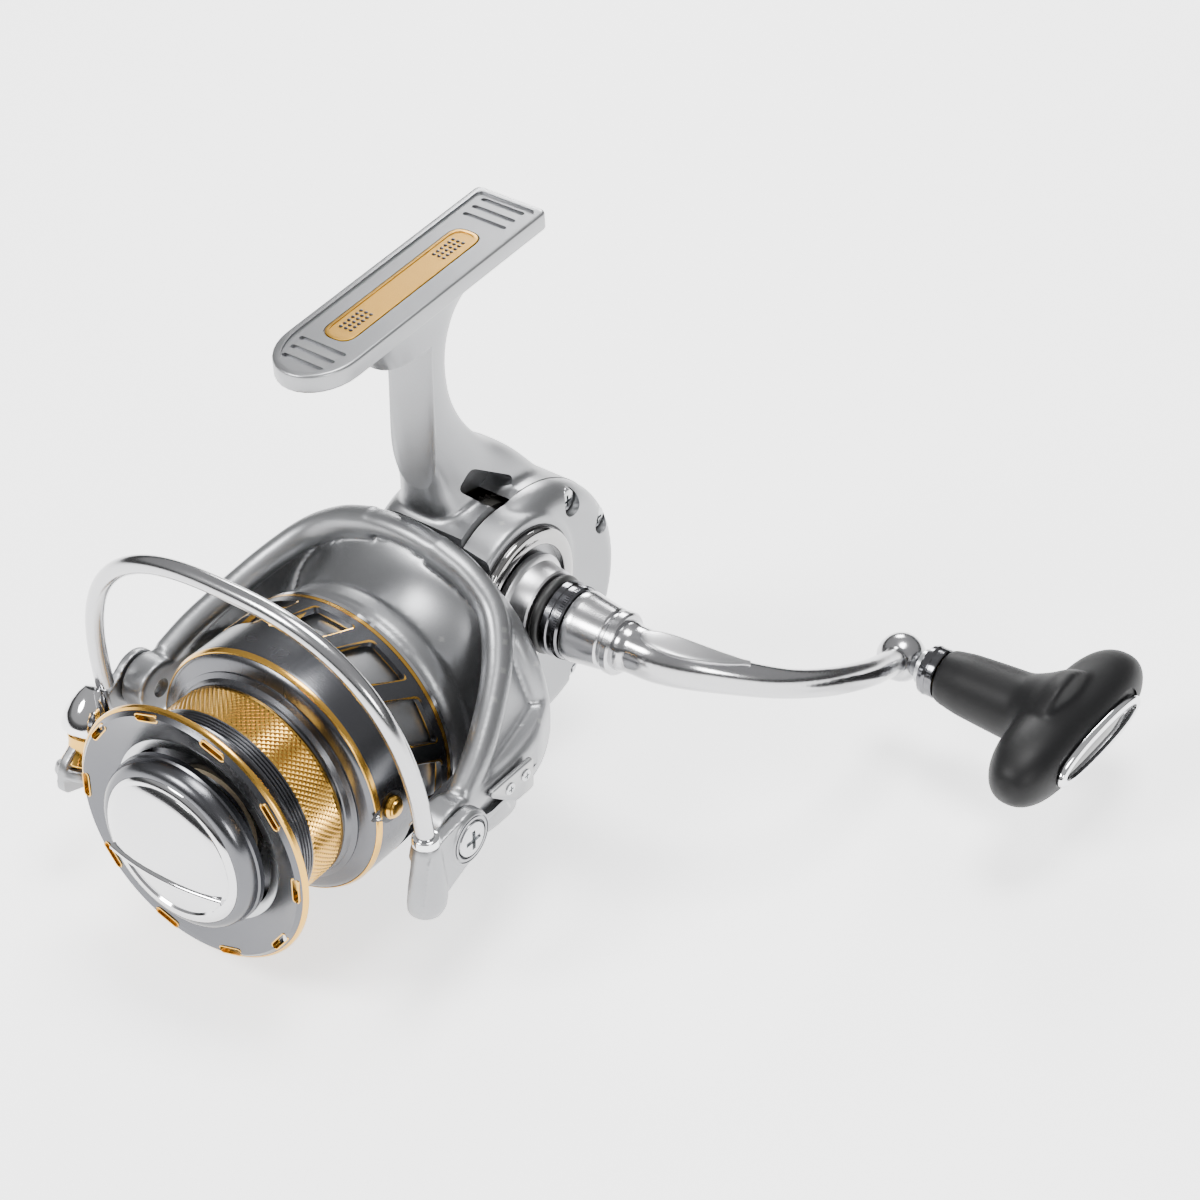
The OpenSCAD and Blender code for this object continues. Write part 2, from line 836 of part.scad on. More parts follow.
module arm_screws() {
    color("dimgray")
        for (s = [0, 1], y = cover_screw_y)
            mirror([s, 0, 0]) translate([arm_out + 1.09, pivot_y + y, az + 0.8]) rotate([0, 90, 0])
                screw(1.3, 0.4, 0.7, 1);
}

// Coil spring that snaps the bail open or shut, kept in the left arm
module bail_spring() {
    color("gray")
        translate([-arm_in + 2.2, pivot_y + 10, az]) rotate([-90, 0, 0])
            for (i = [0:6]) translate([0, 0, i * 1.6]) tube(0.8, 0.8, 0.4);
}

module balance_weight() {
    color("darkgray")
        on_spool_axis(web_y + web_t + 0.02)
            intersection() {
                tube(3, drum_r - rotor_wall - 0.3, 12.4);
                rotate(60) cube([30, 30, 10]);
            }
}

// Lever that trips the bail shut when the handle turns
module kick_lever() {
    color("dimgray")
        translate([24.6, 0, 0])
            difference() {
                side_plate(0, 1.4)
                    polygon([
                        [lever_y - 9, az - 0.8], [lever_y, az - 1.8], [lever_y + 3, az - 1.2],
                        [lever_y + 3, az + 1.2],
                        [lever_y, az + 1.8], [lever_y - 9, az + 0.8]
                    ]);
                translate([-1, lever_y, az]) rotate([0, 90, 0]) cylinder(h = 4, r = 0.6, $fn = 48);
            }
}

// ---- bail ----------------------------------------------------------------------------------

// The arch is a superellipse whose plane leans forward a little
function bail_point(t) =
    let (rise = wire_base + (bail_h - wire_base) * pow(abs(sin(t)), 0.77))
    [pivot_x * sign(cos(t)) * pow(abs(cos(t)), 0.77), wire_y - 0.122 * rise, az + rise];

module bail_wire() {
    steps = 30;
    ring = 10;
    pts = [for (i = [0:steps]) bail_point(180 * i / steps)];
    dirs = [for (i = [0:steps])
        let (a = pts[max(i - 1, 0)], b = pts[min(i + 1, steps)]) (b - a) / norm(b - a)];
    side = [0, 1, 0];
    color("gainsboro")
        polyhedron(
            points = [for (i = [0:steps], k = [0:ring - 1])
                let (n = cross(dirs[i], side), m = n / norm(n), b = cross(m, dirs[i]))
                pts[i] + wire_d / 2 * (cos(360 * k / ring) * m + sin(360 * k / ring) * b)],
            faces = concat(
                [[for (k = [0:ring - 1]) k]],
                [for (i = [0:steps - 1], k = [0:ring - 1])
                    let (n = (k + 1) % ring)
                    [i * ring + k, (i + 1) * ring + k, (i + 1) * ring + n, i * ring + n]],
                [[for (k = [ring - 1:-1:0]) steps * ring + k]]
            ));
}

// Lever on the left arm that carries the line roller
module roller_arm() {
    color("silver")
        translate([-arm_out - pivot_gap - arm_plate, 0, 0])
            difference() {
                union() {
                    translate([0, pivot_y, az]) rotate([0, 90, 0]) cylinder(h = arm_plate, r = boss_r);
                    side_plate(0, arm_plate)
                        polygon([
                            [pivot_y - 1, az + 4.6], [pivot_y + 3, az - 3.8], [roller_y + 1, roller_z - 6.4],
                            [roller_y - 5, roller_z - 4.4], [roller_y - 4, roller_z + 0.6]
                        ]);
                    on_roller_seat(-3.4) cylinder(h = 1.9, r = 3.4);
                }
                on_roller_seat(-1.45) cylinder(h = 16, r = 3.3);
                translate([-1, pivot_y, az]) rotate([0, 90, 0]) cylinder(h = 6, r = 1.6);
            }
}

// Lever on the right arm, with the block that holds the other end of the wire
module wire_holder() {
    color("silver")
        difference() {
            union() {
                translate([arm_out + pivot_gap, pivot_y, az]) rotate([0, 90, 0])
                    cylinder(h = arm_plate + 1, r = boss_r);
                side_plate(arm_out + pivot_gap, arm_plate + 1)
                    polygon([
                        [pivot_y - 1, az + 4.6], [pivot_y + 1, az - 4.5], [wire_y - 2.4, az - 8.6],
                        [wire_y - 4.6, az - 7.4], [wire_y - 2.4, az + 2.2], [wire_y + 0.6, az + 3.8]
                    ]);
                translate([pivot_x, wire_y - 0.5, az - 7.4]) cylinder(h = 10.6, r1 = 2.3, r2 = 2.1);
            }
            translate([arm_out - 4, wire_y - 4, az - 8]) cube([3.3, 8, 9]);
            translate([arm_out - 1, pivot_y, az]) rotate([0, 90, 0]) cylinder(h = 8, r = 1.6);
        }
}

module pivot_screws() {
    color("dimgray") {
        translate([arm_out + pivot_gap + arm_plate + 1.02, pivot_y, az])
            rotate([0, 90, 0]) screw(3.2, 1.1, 1.6, 6.2);
        mirror([1, 0, 0])
            translate([arm_out + pivot_gap + arm_plate + 0.02, pivot_y, az])
                rotate([0, 90, 0]) screw(3.2, 1.1, 1.6, 5.6);
    }
}

module on_roller_axis(s = 0) {
    translate([roller_x, roller_y, roller_z]) rotate([-roller_dir, 0, 0]) translate([0, 0, s]) children();
}

module on_roller_seat(s) {
    translate([arm_out + pivot_gap + arm_plate, 0, 0]) on_roller_axis(s) children();
}

// Axle through the roller, with the cone that the wire grows out of
module roller_axle() {
    color("gainsboro")
        on_roller_axis(-1.48) {
            cylinder(h = 7, r = 1.2);
            translate([0, 0, 5.6]) cylinder(h = 0.8, r = 3.8);
            translate([0, 0, 6.3]) cylinder(h = 7, r1 = 3.8, r2 = 1.7);
        }
}

module line_roller() {
    color("goldenrod")
        on_roller_axis(-1.1)
            rotate_extrude()
                polygon([
                    [1.2 + run, 0], [2.7, 0], [2.3, 1.2], [2.1, 2.4], [2.3, 3.6], [2.7, 4.8], [1.2 + run, 4.8]
                ]);
}

// ---- spool ---------------------------------------------------------------------------------

module spool() {
    color("dimgray")
        difference() {
            on_spool_axis()
                rotate_extrude()
                    polygon([
                        [bore_r, -50.4], [16, -50.4], [16, lip_y + 0.4], [16.6, lip_y], [lip_r - 1.2, lip_y],
                        [lip_r, lip_y + 0.7], [lip_r, lip_y + 1.5], [arbor_r + 0.4, lip_y + lip_t + 2.4],
                        [arbor_r, -50.6], [arbor_r, band_y], [arbor_r - 0.8, band_y],
                        [arbor_r - 0.8, band_y + band_w], [arbor_r, band_y + band_w], [arbor_r, -39.4],
                        [skirt_r - 0.6, skirt_front - 0.7], [skirt_r, skirt_front], [skirt_r, skirt_y],
                        [skirt_r - skirt_t, skirt_y], [skirt_r - skirt_t, skirt_front + 2.4],
                        [arbor_r - 2.6, skirt_front + 0.8], [arbor_r - 2.6, -43], [9.6, -43],
                        [9.6, -47.4], [bore_r, -47.4]
                    ]);
            for (a = [0:36:324])
                on_spool_axis(lip_y - 1) rotate(a) translate([20.1, 0, 0])
                    linear_extrude(8) round_rect(1.5, 4.4, 0.7);
            for (a = [0:30:330])
                on_spool_axis(skirt_y - 10)
                    rotate(a + 9) translate([skirt_r - 3, -3.4, 0]) cube([6, 6.8, 7.2]);
        }
}

// Diamond-knurled band let into the arbor
module arbor_band() {
    color("goldenrod") on_spool_axis(band_y + 0.03) tube(band_w - 0.06, arbor_r - 0.02, arbor_r - 0.78);
}

module felt_washers() {
    color("tan") for (y = [-52.9, -51.3]) on_spool_axis(y) tube(0.85, 8.8, bore_r);
}

// Spring ring that keeps the washers in the spool
module washer_ring() {
    color("silver") on_spool_axis(-54.2) tube(0.6, 15.98, 14.6);
}

module line_clip() {
    color("goldenrod")
        on_spool_axis() rotate(-4) translate([skirt_r + 0.06, 0, -34]) rotate([0, 90, 0]) {
            cylinder(h = 0.9, r = 1.9);
            cylinder(h = 1.2, r = 1.3);
        }
}

// ---- drag knob -----------------------------------------------------------------------------

module drag_knob() {
    color("whitesmoke")
        difference() {
            union() {
                on_spool_axis(-60.6)
                    rotate_extrude()
                        polygon([
                            [shaft_r + 0.3, 5], [14.2, 5], [15, 4.4], [15, 1.4], [14.2, 0.6], [12.8, 0.4],
                            [12, -0.3], [shaft_r + 0.3, -0.5]
                        ]);
                translate([-12.4, -63, az - 1.8]) cube([24.8, 3, 3.6]);
            }
            on_spool_axis(-57.7) cylinder(h = 6, r = shaft_r + 0.3);
        }
}

housing();
side_cover();
rear_cover();
foot_inlay();
case_screws();
cover_bezel();
left_bearing();
right_bearing();
pinion_bearing();
rear_bushing();
bearing_plate();
plate_screws();
clutch_case();
clutch_rollers();
osc_stud();
guide_rod();
dust_cap();
drive_gear();
drive_shaft();
spur_gear();
handle_collar();
handle_seal();
lock_ring();
handle_cone();
handle_arm();
knob_axle();
knob_grip();
knob_ferrule();
knob_window();
knob_bushings();
oscillation_gear();
main_shaft();
slider_block();
slider_screw();
drive_pin();
click_wheel();
keyed_washers();
pinion();
clutch_sleeve();
rotor();
rotor_nut();
nut_lock();
left_arm_cover();
right_arm_cover();
arm_screws();
bail_spring();
balance_weight();
kick_lever();
bail_wire();
roller_arm();
wire_holder();
pivot_screws();
roller_axle();
line_roller();
spool();
arbor_band();
felt_washers();
washer_ring();
line_clip();
drag_knob();
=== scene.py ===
"""Spinning reel: surfaces and finishes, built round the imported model.

Lengths in the classes are millimetres in the reel's own frame: the spool axis runs along Y, the handle
leaves along +X, and the foot is at the top. Meshes are scaled to metres when they are made.
"""
import json
import logging
import math
from dataclasses import dataclass
from enum import Enum
from typing import Callable, Iterable, Optional, Sequence

import bmesh
import bpy
from mathutils import Matrix, Vector


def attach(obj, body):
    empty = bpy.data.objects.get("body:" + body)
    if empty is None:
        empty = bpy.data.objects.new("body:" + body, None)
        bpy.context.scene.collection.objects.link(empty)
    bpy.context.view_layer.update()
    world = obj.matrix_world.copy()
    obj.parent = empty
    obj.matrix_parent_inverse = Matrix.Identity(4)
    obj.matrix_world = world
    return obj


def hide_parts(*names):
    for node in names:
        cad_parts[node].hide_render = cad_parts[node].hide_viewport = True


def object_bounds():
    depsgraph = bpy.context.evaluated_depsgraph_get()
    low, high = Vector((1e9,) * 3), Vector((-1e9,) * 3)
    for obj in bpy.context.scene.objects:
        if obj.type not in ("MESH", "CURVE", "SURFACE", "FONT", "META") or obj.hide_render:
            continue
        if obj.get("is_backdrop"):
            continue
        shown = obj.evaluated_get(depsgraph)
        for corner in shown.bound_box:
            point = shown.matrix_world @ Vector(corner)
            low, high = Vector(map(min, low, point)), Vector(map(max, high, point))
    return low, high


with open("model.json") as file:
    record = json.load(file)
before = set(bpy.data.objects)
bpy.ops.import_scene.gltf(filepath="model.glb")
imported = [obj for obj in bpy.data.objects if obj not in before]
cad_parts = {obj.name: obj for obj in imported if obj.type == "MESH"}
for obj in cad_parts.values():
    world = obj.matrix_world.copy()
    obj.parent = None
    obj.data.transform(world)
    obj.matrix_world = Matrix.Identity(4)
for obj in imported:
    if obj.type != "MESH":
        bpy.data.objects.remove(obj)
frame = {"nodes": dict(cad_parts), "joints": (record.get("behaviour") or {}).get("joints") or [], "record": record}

logging.basicConfig(level=logging.INFO, format="%(message)s")
LOG = logging.getLogger("reel")

MM = 0.001
WELD = 0.002
FACETS = 96
SPOOL_FACETS = 144
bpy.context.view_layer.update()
JOINTS = {joint["name"]: joint for joint in frame["joints"]}

Point2 = tuple[float, float]
Point3 = tuple[float, float, float]


def joint_place(name: str) -> Vector:
    """Where a joint's axis stands, in millimetres."""
    return Vector(JOINTS[name]["pos_m"]) / MM


SPOOL_AXIS = joint_place("rotor_turn")
CRANK_AXIS = joint_place("crank_turn")
KNOB_AXIS = joint_place("knob_spin")
BAIL_AXIS = joint_place("bail_flip")
ROLLER_AXIS = joint_place("roller_spin")
PIVOT = Vector((0, BAIL_AXIS.y, SPOOL_AXIS.z))
CASE_CENTRE = Vector((0.0, 14.5, SPOOL_AXIS.z + 4.0))
FOOT_TILT = math.radians(3.5)
ROLLER_TILT = math.radians(26)


class Slot(Enum):
    """Material slots of the record."""

    SILVER = "satin_silver"
    FOOT_GOLD = "foot_gold"
    CHROME = "bright_chrome"
    STEEL = "steel"
    DARK = "dark_metal"
    BRASS = "brass"
    GEAR = "gear_alloy"
    GRIP = "soft_black"
    SEAL = "seal_rubber"
    GUNMETAL = "gunmetal"
    GOLD = "gold_anodised"
    FELT = "felt"
    PLASTIC = "black_plastic"


# ---- places ---------------------------------------------------------------------------------------


def on_spool(y: float = 0.0) -> Matrix:
    """Local Z runs back along the spool axis, from the plane y."""
    return Matrix.Translation((0, y, SPOOL_AXIS.z)) @ Matrix.Rotation(-math.pi / 2, 4, "X")


def along_x(centre: Vector, x: float = 0.0) -> Matrix:
    """Local Z runs along +X through a centre, from the plane x."""
    return Matrix.Translation((x, centre.y, centre.z)) @ Matrix.Rotation(math.pi / 2, 4, "Y")


def on_roller(s: float = 0.0) -> Matrix:
    """Local Z runs along the line roller's axis."""
    turn = Matrix.Rotation(-ROLLER_TILT, 4, "X")
    return Matrix.Translation(ROLLER_AXIS) @ turn @ Matrix.Translation((0, 0, s))


def on_foot() -> Matrix:
    """Local Z leaves the foot's seat face."""
    return Matrix.Rotation(FOOT_TILT, 4, "X")


def side_view(x: float) -> Matrix:
    """An outline drawn as (y, z), given thickness along +X from x."""
    return Matrix(((0, 0, 1, x), (1, 0, 0, 0), (0, 1, 0, 0), (0, 0, 0, 1)))


# ---- outlines -------------------------------------------------------------------------------------


def arc(centre: Point2, radius: float, start: float, end: float, steps: int = 6) -> list[Point2]:
    """Points of an arc, angles in degrees."""
    angles = [math.radians(start + (end - start) * i / steps) for i in range(steps + 1)]
    return [(centre[0] + radius * math.cos(a), centre[1] + radius * math.sin(a)) for a in angles]


def softened(outline: Sequence[Point2], radius: float, steps: int = 3) -> list[Point2]:
    """A closed outline with its corners rounded.

    Args:
        outline: corners in order.
        radius: rounding radius, cut down where an edge is short.
        steps: facets per corner.

    Returns:
        The rounded outline.
    """
    result: list[Point2] = []
    count = len(outline)
    for i, corner in enumerate(outline):
        here = Vector(corner)
        back = Vector(outline[i - 1]) - here
        ahead = Vector(outline[(i + 1) % count]) - here
        reach = min(radius, back.length * 0.45, ahead.length * 0.45)
        a = here + back.normalized() * reach
        b = here + ahead.normalized() * reach
        for k in range(steps + 1):
            t = k / steps
            p = a * (1 - t) ** 2 + here * 2 * t * (1 - t) + b * t * t
            result.append((p.x, p.y))
    return result


def pill(length: float, width: float, steps: int = 8) -> list[Point2]:
    """A slot with round ends, its length along the first axis."""
    r = width / 2
    half = length / 2 - r
    return arc((half, 0), r, -90, 90, steps) + arc((-half, 0), r, 90, 270, steps)


def smooth_path(points: Sequence[Sequence[float]], steps: int = 6) -> list[Vector]:
    """A Catmull-Rom curve through points of any dimension, end points kept."""
    pts = [Vector(p) for p in points]
    ends = [pts[0] * 2 - pts[1], *pts, pts[-1] * 2 - pts[-2]]
    curve: list[Vector] = []
    for i in range(1, len(ends) - 2):
        a, b, c, d = ends[i - 1:i + 3]
        for k in range(steps):
            t = k / steps
            curve.append(
                (b * 2 + (c - a) * t + (a * 2 - b * 5 + c * 4 - d) * t ** 2
                 + (b * 3 - a - c * 3 + d) * t ** 3) / 2
            )
    curve.append(pts[-1])
    return curve


def superellipse(a: float, b: float, power: float, count: int) -> list[Point2]:
    """A rounded oblong of half-sizes a and b."""
    points = []
    for i in range(count):
        t = math.tau * i / count
        c, s = math.cos(t), math.sin(t)
        points.append((a * math.copysign(abs(c) ** (2 / power), c),
                       b * math.copysign(abs(s) ** (2 / power), s)))
    return points


# ---- mesh making ----------------------------------------------------------------------------------


class Blank:
    """Closed shells in millimetres, gathered into one mesh."""

    def __init__(self) -> None:
        """Starts empty."""
        self.verts: list[Vector] = []
        self.faces: list[tuple[int, ...]] = []

    def _ring(self, points: Iterable[Vector]) -> list[int]:
        """Adds points and returns their indices."""
        start = len(self.verts)
        self.verts.extend(points)
        return list(range(start, len(self.verts)))

    def _bridge(self, a: list[int], b: list[int]) -> None:
        """Joins two rings, either of which may be a single point."""
        count = max(len(a), len(b))
        for i in range(count):
            j = (i + 1) % count
            if len(a) == 1:
                self.faces.append((a[0], b[j], b[i]))
            elif len(b) == 1:
                self.faces.append((a[i], a[j], b[0]))
            else:
                self.faces.append((a[i], a[j], b[j], b[i]))

    def lathe(self, profile: Sequence[Point2], place: Matrix, steps: int = FACETS) -> "Blank":
        """Turns a profile about local Z.

        Args:
            profile: (radius, height) points; a profile that starts and ends on the axis is a solid
                turning, any other is a closed ring.
            place: local to reel frame.
            steps: facets round the axis.

        Returns:
            This blank.
        """
        rings = []
        for r, z in profile:
            if r < 1e-6:
                rings.append(self._ring([place @ Vector((0, 0, z))]))
                continue
            angles = [math.tau * i / steps for i in range(steps)]
            rings.append(self._ring(place @ Vector((r * math.cos(a), r * math.sin(a), z)) for a in angles))
        closed = profile[0][0] > 1e-6
        pairs = zip(rings, rings[1:] + rings[:1]) if closed else zip(rings, rings[1:])
        for a, b in pairs:
            if len(a) > 1 or len(b) > 1:
                self._bridge(a, b)
        return self

    def loft(self, sections: Sequence[Sequence[Vector]]) -> "Blank":
        """Skins sections of equal count and caps both ends."""
        rings = [self._ring(section) for section in sections]
        for a, b in zip(rings, rings[1:]):
            self._bridge(a, b)
        self.faces.append(tuple(reversed(rings[0])))
        self.faces.append(tuple(rings[-1]))
        return self

    def sweep(self, path: Sequence[Vector], shape: Callable[[float], Sequence[Point2]],
              across: Vector = Vector((0, 0, 1))) -> "Blank":
        """Runs a changing section along a path.

        Args:
            path: centres of the sections.
            shape: section for a share 0 to 1 of the path, in (across, normal) axes.
            across: direction that the section's first axis stays nearest to.

        Returns:
            This blank.
        """
        sections = []
        last = len(path) - 1
        for i, centre in enumerate(path):
            along = (path[min(i + 1, last)] - path[max(i - 1, 0)]).normalized()
            u = (across - along * across.dot(along)).normalized()
            w = along.cross(u)
            sections.append([centre + u * p + w * q for p, q in shape(i / last)])
        return self.loft(sections)

    def tube(self, path: Sequence[Vector], radius: float, count: int = 24,
             across: Vector = Vector((0, 0, 1))) -> "Blank":
        """A round bar along a path."""
        section = superellipse(radius, radius, 2, count)
        return self.sweep(path, lambda _: section, across)

    def prism(self, outline: Sequence[Point2], low: float, high: float, place: Matrix) -> "Blank":
        """An outline given thickness along local Z."""
        return self.loft([[place @ Vector((x, y, z)) for x, y in outline] for z in (low, high)])

    def ball(self, centre: Vector, radius: float, steps: int = 48) -> "Blank":
        """A ball."""
        profile = [(0.0, -radius), *arc((0, 0), radius, -84, 84, 28), (0.0, radius)]
        return self.lathe(profile, along_x(centre, centre.x), steps)

    def made(self, name: str) -> bpy.types.Object:
        """The object, in metres, with its faces pointing out."""
        mesh = bpy.data.meshes.new(name)
        mesh.from_pydata([v * MM for v in self.verts], [], self.faces)
        shell = bmesh.new()
        shell.from_mesh(mesh)
        bmesh.ops.remove_doubles(shell, verts=shell.verts, dist=WELD * MM)
        bmesh.ops.recalc_face_normals(shell, faces=shell.faces)
        shell.to_mesh(mesh)
        shell.free()
        piece = bpy.data.objects.new(name, mesh)
        bpy.context.scene.collection.objects.link(piece)
        return piece


def settle(piece: bpy.types.Object) -> bpy.types.Object:
    """Applies a piece's modifiers to its mesh."""
    graph = bpy.context.evaluated_depsgraph_get()
    graph.update()
    mesh = bpy.data.meshes.new_from_object(piece.evaluated_get(graph))
    piece.modifiers.clear()
    old = piece.data
    piece.data = mesh
    mesh.name = piece.name
    if old.users == 0:
        bpy.data.meshes.remove(old)
    return piece


def fused(piece: bpy.types.Object, voxel: float, passes: int) -> bpy.types.Object:
    """Melts a piece's shells into one skin with soft fillets.

    Args:
        piece: object of overlapping closed shells.
        voxel: grid size in millimetres.
        passes: smoothing passes; more make wider fillets.

    Returns:
        The same object, with a new mesh.
    """
    remesh = piece.modifiers.new("melt", "REMESH")
    remesh.mode = "VOXEL"
    remesh.voxel_size = voxel * MM
    smooth = piece.modifiers.new("soften", "SMOOTH")
    smooth.factor = 0.5
    smooth.iterations = passes
    return settle(piece)


def bevelled(piece: bpy.types.Object, width: float, segments: int = 3, angle: float = 35) -> bpy.types.Object:
    """Breaks a piece's edges."""
    bevel = piece.modifiers.new("edge", "BEVEL")
    bevel.width = width * MM
    bevel.segments = segments
    bevel.limit_method = "ANGLE"
    bevel.angle_limit = math.radians(angle)
    return settle(piece)


def cut(piece: bpy.types.Object, *tools: bpy.types.Object) -> bpy.types.Object:
    """Cuts tools out of a piece and deletes the tools."""
    for tool in tools:
        boolean = piece.modifiers.new("cut", "BOOLEAN")
        boolean.operation = "DIFFERENCE"
        boolean.solver = "EXACT"
        boolean.object = tool
        settle(piece)
        bpy.data.objects.remove(tool)
    return piece


# ---- nodes ----------------------------------------------------------------------------------------


def feed(tree: bpy.types.NodeTree, socket: bpy.types.NodeSocket, value: object) -> None:
    """Links a socket to another, or sets it to a plain value."""
    if isinstance(value, bpy.types.NodeSocket):
        tree.links.new(value, socket)
    else:
        socket.default_value = value


def maths(tree: bpy.types.NodeTree, operation: str, *values: object) -> bpy.types.NodeSocket:
    """A Math node fed by sockets or numbers."""
    node = tree.nodes.new("ShaderNodeMath")
    node.operation = operation
    for socket, value in zip(node.inputs, values):
        feed(tree, socket, value)
    return node.outputs[0]


# ---- repeats --------------------------------------------------------------------------------------


class Repeater:
    """Node trees that repeat a piece round a ring or at chosen places."""

    def __init__(self) -> None:
        """Builds both trees once."""
        self.ring_tree = self._ring_tree()
        self.place_tree = self._place_tree()

    @staticmethod
    def _new_tree(name: str, inputs: Sequence[tuple[str, str]]) -> bpy.types.NodeTree:
        """A geometry tree with named inputs and one geometry output."""
        tree = bpy.data.node_groups.new(name, "GeometryNodeTree")
        tree.interface.new_socket("Geometry", in_out="INPUT", socket_type="NodeSocketGeometry")
        for label, kind in inputs:
            tree.interface.new_socket(label, in_out="INPUT", socket_type=kind)
        tree.interface.new_socket("Geometry", in_out="OUTPUT", socket_type="NodeSocketGeometry")
        return tree

    @staticmethod
    def _finish_tree(tree: bpy.types.NodeTree, given: "bpy.types.bpy_prop_collection",
                     points: bpy.types.Node, turn: Optional[bpy.types.Node] = None) -> None:
        """Ends a tree: the piece on its points, made real, in its material.

        Args:
            tree: tree to end.
            given: outputs of its group input.
            points: node that makes the points.
            turn: node that turns each copy, if any.
        """
        item = tree.nodes.new("GeometryNodeObjectInfo")
        tree.links.new(given["Piece"], item.inputs["Object"])
        spread = tree.nodes.new("GeometryNodeInstanceOnPoints")
        tree.links.new(points.outputs[0], spread.inputs["Points"])
        tree.links.new(item.outputs["Geometry"], spread.inputs["Instance"])
        if turn:
            tree.links.new(turn.outputs[0], spread.inputs["Rotation"])
        realize = tree.nodes.new("GeometryNodeRealizeInstances")
        coat = tree.nodes.new("GeometryNodeSetMaterial")
        out = tree.nodes.new("NodeGroupOutput")
        tree.links.new(spread.outputs[0], realize.inputs[0])
        tree.links.new(realize.outputs[0], coat.inputs["Geometry"])
        tree.links.new(given["Material"], coat.inputs["Material"])
        tree.links.new(coat.outputs[0], out.inputs[0])

    def _ring_tree(self) -> bpy.types.NodeTree:
        """Repeats a piece round local Z, in one or more staggered rows."""
        tree = self._new_tree("ring_repeat", [
            ("Count", "NodeSocketInt"), ("Rows", "NodeSocketInt"), ("Pitch", "NodeSocketFloat"),
            ("Stagger", "NodeSocketFloat"), ("Radius", "NodeSocketFloat"), ("Start", "NodeSocketFloat"),
            ("Piece", "NodeSocketObject"), ("Material", "NodeSocketMaterial"),
        ])
        given = tree.nodes.new("NodeGroupInput").outputs
        index = tree.nodes.new("GeometryNodeInputIndex").outputs[0]
        total = maths(tree, "MULTIPLY", given["Count"], given["Rows"])
        row = maths(tree, "FLOOR", maths(tree, "DIVIDE", index, given["Count"]), 0.0)
        step = maths(tree, "DIVIDE", math.tau, given["Count"])
        seat = maths(tree, "ADD", index, maths(tree, "MULTIPLY", row, given["Stagger"]))
        angle = maths(tree, "ADD", maths(tree, "MULTIPLY", seat, step), given["Start"])
        place = tree.nodes.new("ShaderNodeCombineXYZ")
        for socket, operation in zip(place.inputs, ("COSINE", "SINE")):
            feed(tree, socket, maths(tree, "MULTIPLY", maths(tree, operation, angle, 0.0), given["Radius"]))
        feed(tree, place.inputs[2], maths(tree, "MULTIPLY", row, given["Pitch"]))
        turn = tree.nodes.new("ShaderNodeCombineXYZ")
        tree.links.new(angle, turn.inputs[2])
        points = tree.nodes.new("GeometryNodePoints")
        tree.links.new(total, points.inputs["Count"])
        tree.links.new(place.outputs[0], points.inputs["Position"])
        self._finish_tree(tree, given, points, turn)
        return tree

    def _place_tree(self) -> bpy.types.NodeTree:
        """Repeats a piece at each vertex of a mesh of places."""
        tree = self._new_tree("place_repeat",
                              [("Piece", "NodeSocketObject"), ("Material", "NodeSocketMaterial")])
        given = tree.nodes.new("NodeGroupInput").outputs
        points = tree.nodes.new("GeometryNodeMeshToPoints")
        tree.links.new(given["Geometry"], points.inputs[0])
        self._finish_tree(tree, given, points)
        return tree

    @staticmethod
    def _grow(host: bpy.types.Object, tree: bpy.types.NodeTree, values: dict[str, object],
              item: bpy.types.Object, place: Matrix) -> bpy.types.Object:
        """Runs a tree on a host, bakes it, applies a place and drops the repeated item."""
        grow = host.modifiers.new("repeat", "NODES")
        grow.node_group = tree
        for socket in tree.interface.items_tree:
            if socket.in_out == "INPUT" and socket.name in values:
                grow[socket.identifier] = values[socket.name]
        settle(host)
        bpy.data.objects.remove(item)
        shift = place.copy()
        shift.translation = shift.translation * MM
        host.data.transform(shift)
        return host

    def ring(self, name: str, item: bpy.types.Object, finish: bpy.types.Material, place: Matrix, count: int,
             radius: float, rows: int = 1, pitch: float = 0.0, stagger: float = 0.0,
             start: float = 0.0) -> bpy.types.Object:
        """Repeats an item round an axis.

        Args:
            name: name of the new piece.
            item: object drawn at the origin, its outward side along +X.
            finish: material of the copies.
            place: where local Z stands in the reel.
            count: copies in a row.
            radius: distance from the axis.
            rows: number of rows along the axis.
            pitch: distance between rows.
            stagger: turn of each row against the last, in steps.
            start: first angle, in degrees.

        Returns:
            The baked piece.
        """
        host = bpy.data.objects.new(name, bpy.data.meshes.new(name))
        bpy.context.scene.collection.objects.link(host)
        values = {"Count": count, "Rows": rows, "Pitch": pitch * MM, "Stagger": stagger,
                  "Radius": radius * MM,
                  "Start": math.radians(start), "Piece": item, "Material": finish}
        return self._grow(host, self.ring_tree, values, item, place)

    def at(self, name: str, item: bpy.types.Object, finish: bpy.types.Material, place: Matrix,
           places: Sequence[Point3]) -> bpy.types.Object:
        """Repeats an item at places given in the local frame of place."""
        mesh = bpy.data.meshes.new(name)
        mesh.from_pydata([Vector(p) * MM for p in places], [], [])
        host = bpy.data.objects.new(name, mesh)
        bpy.context.scene.collection.objects.link(host)
        return self._grow(host, self.place_tree, {"Piece": item, "Material": finish}, item, place)


# ---- finishes -------------------------------------------------------------------------------------


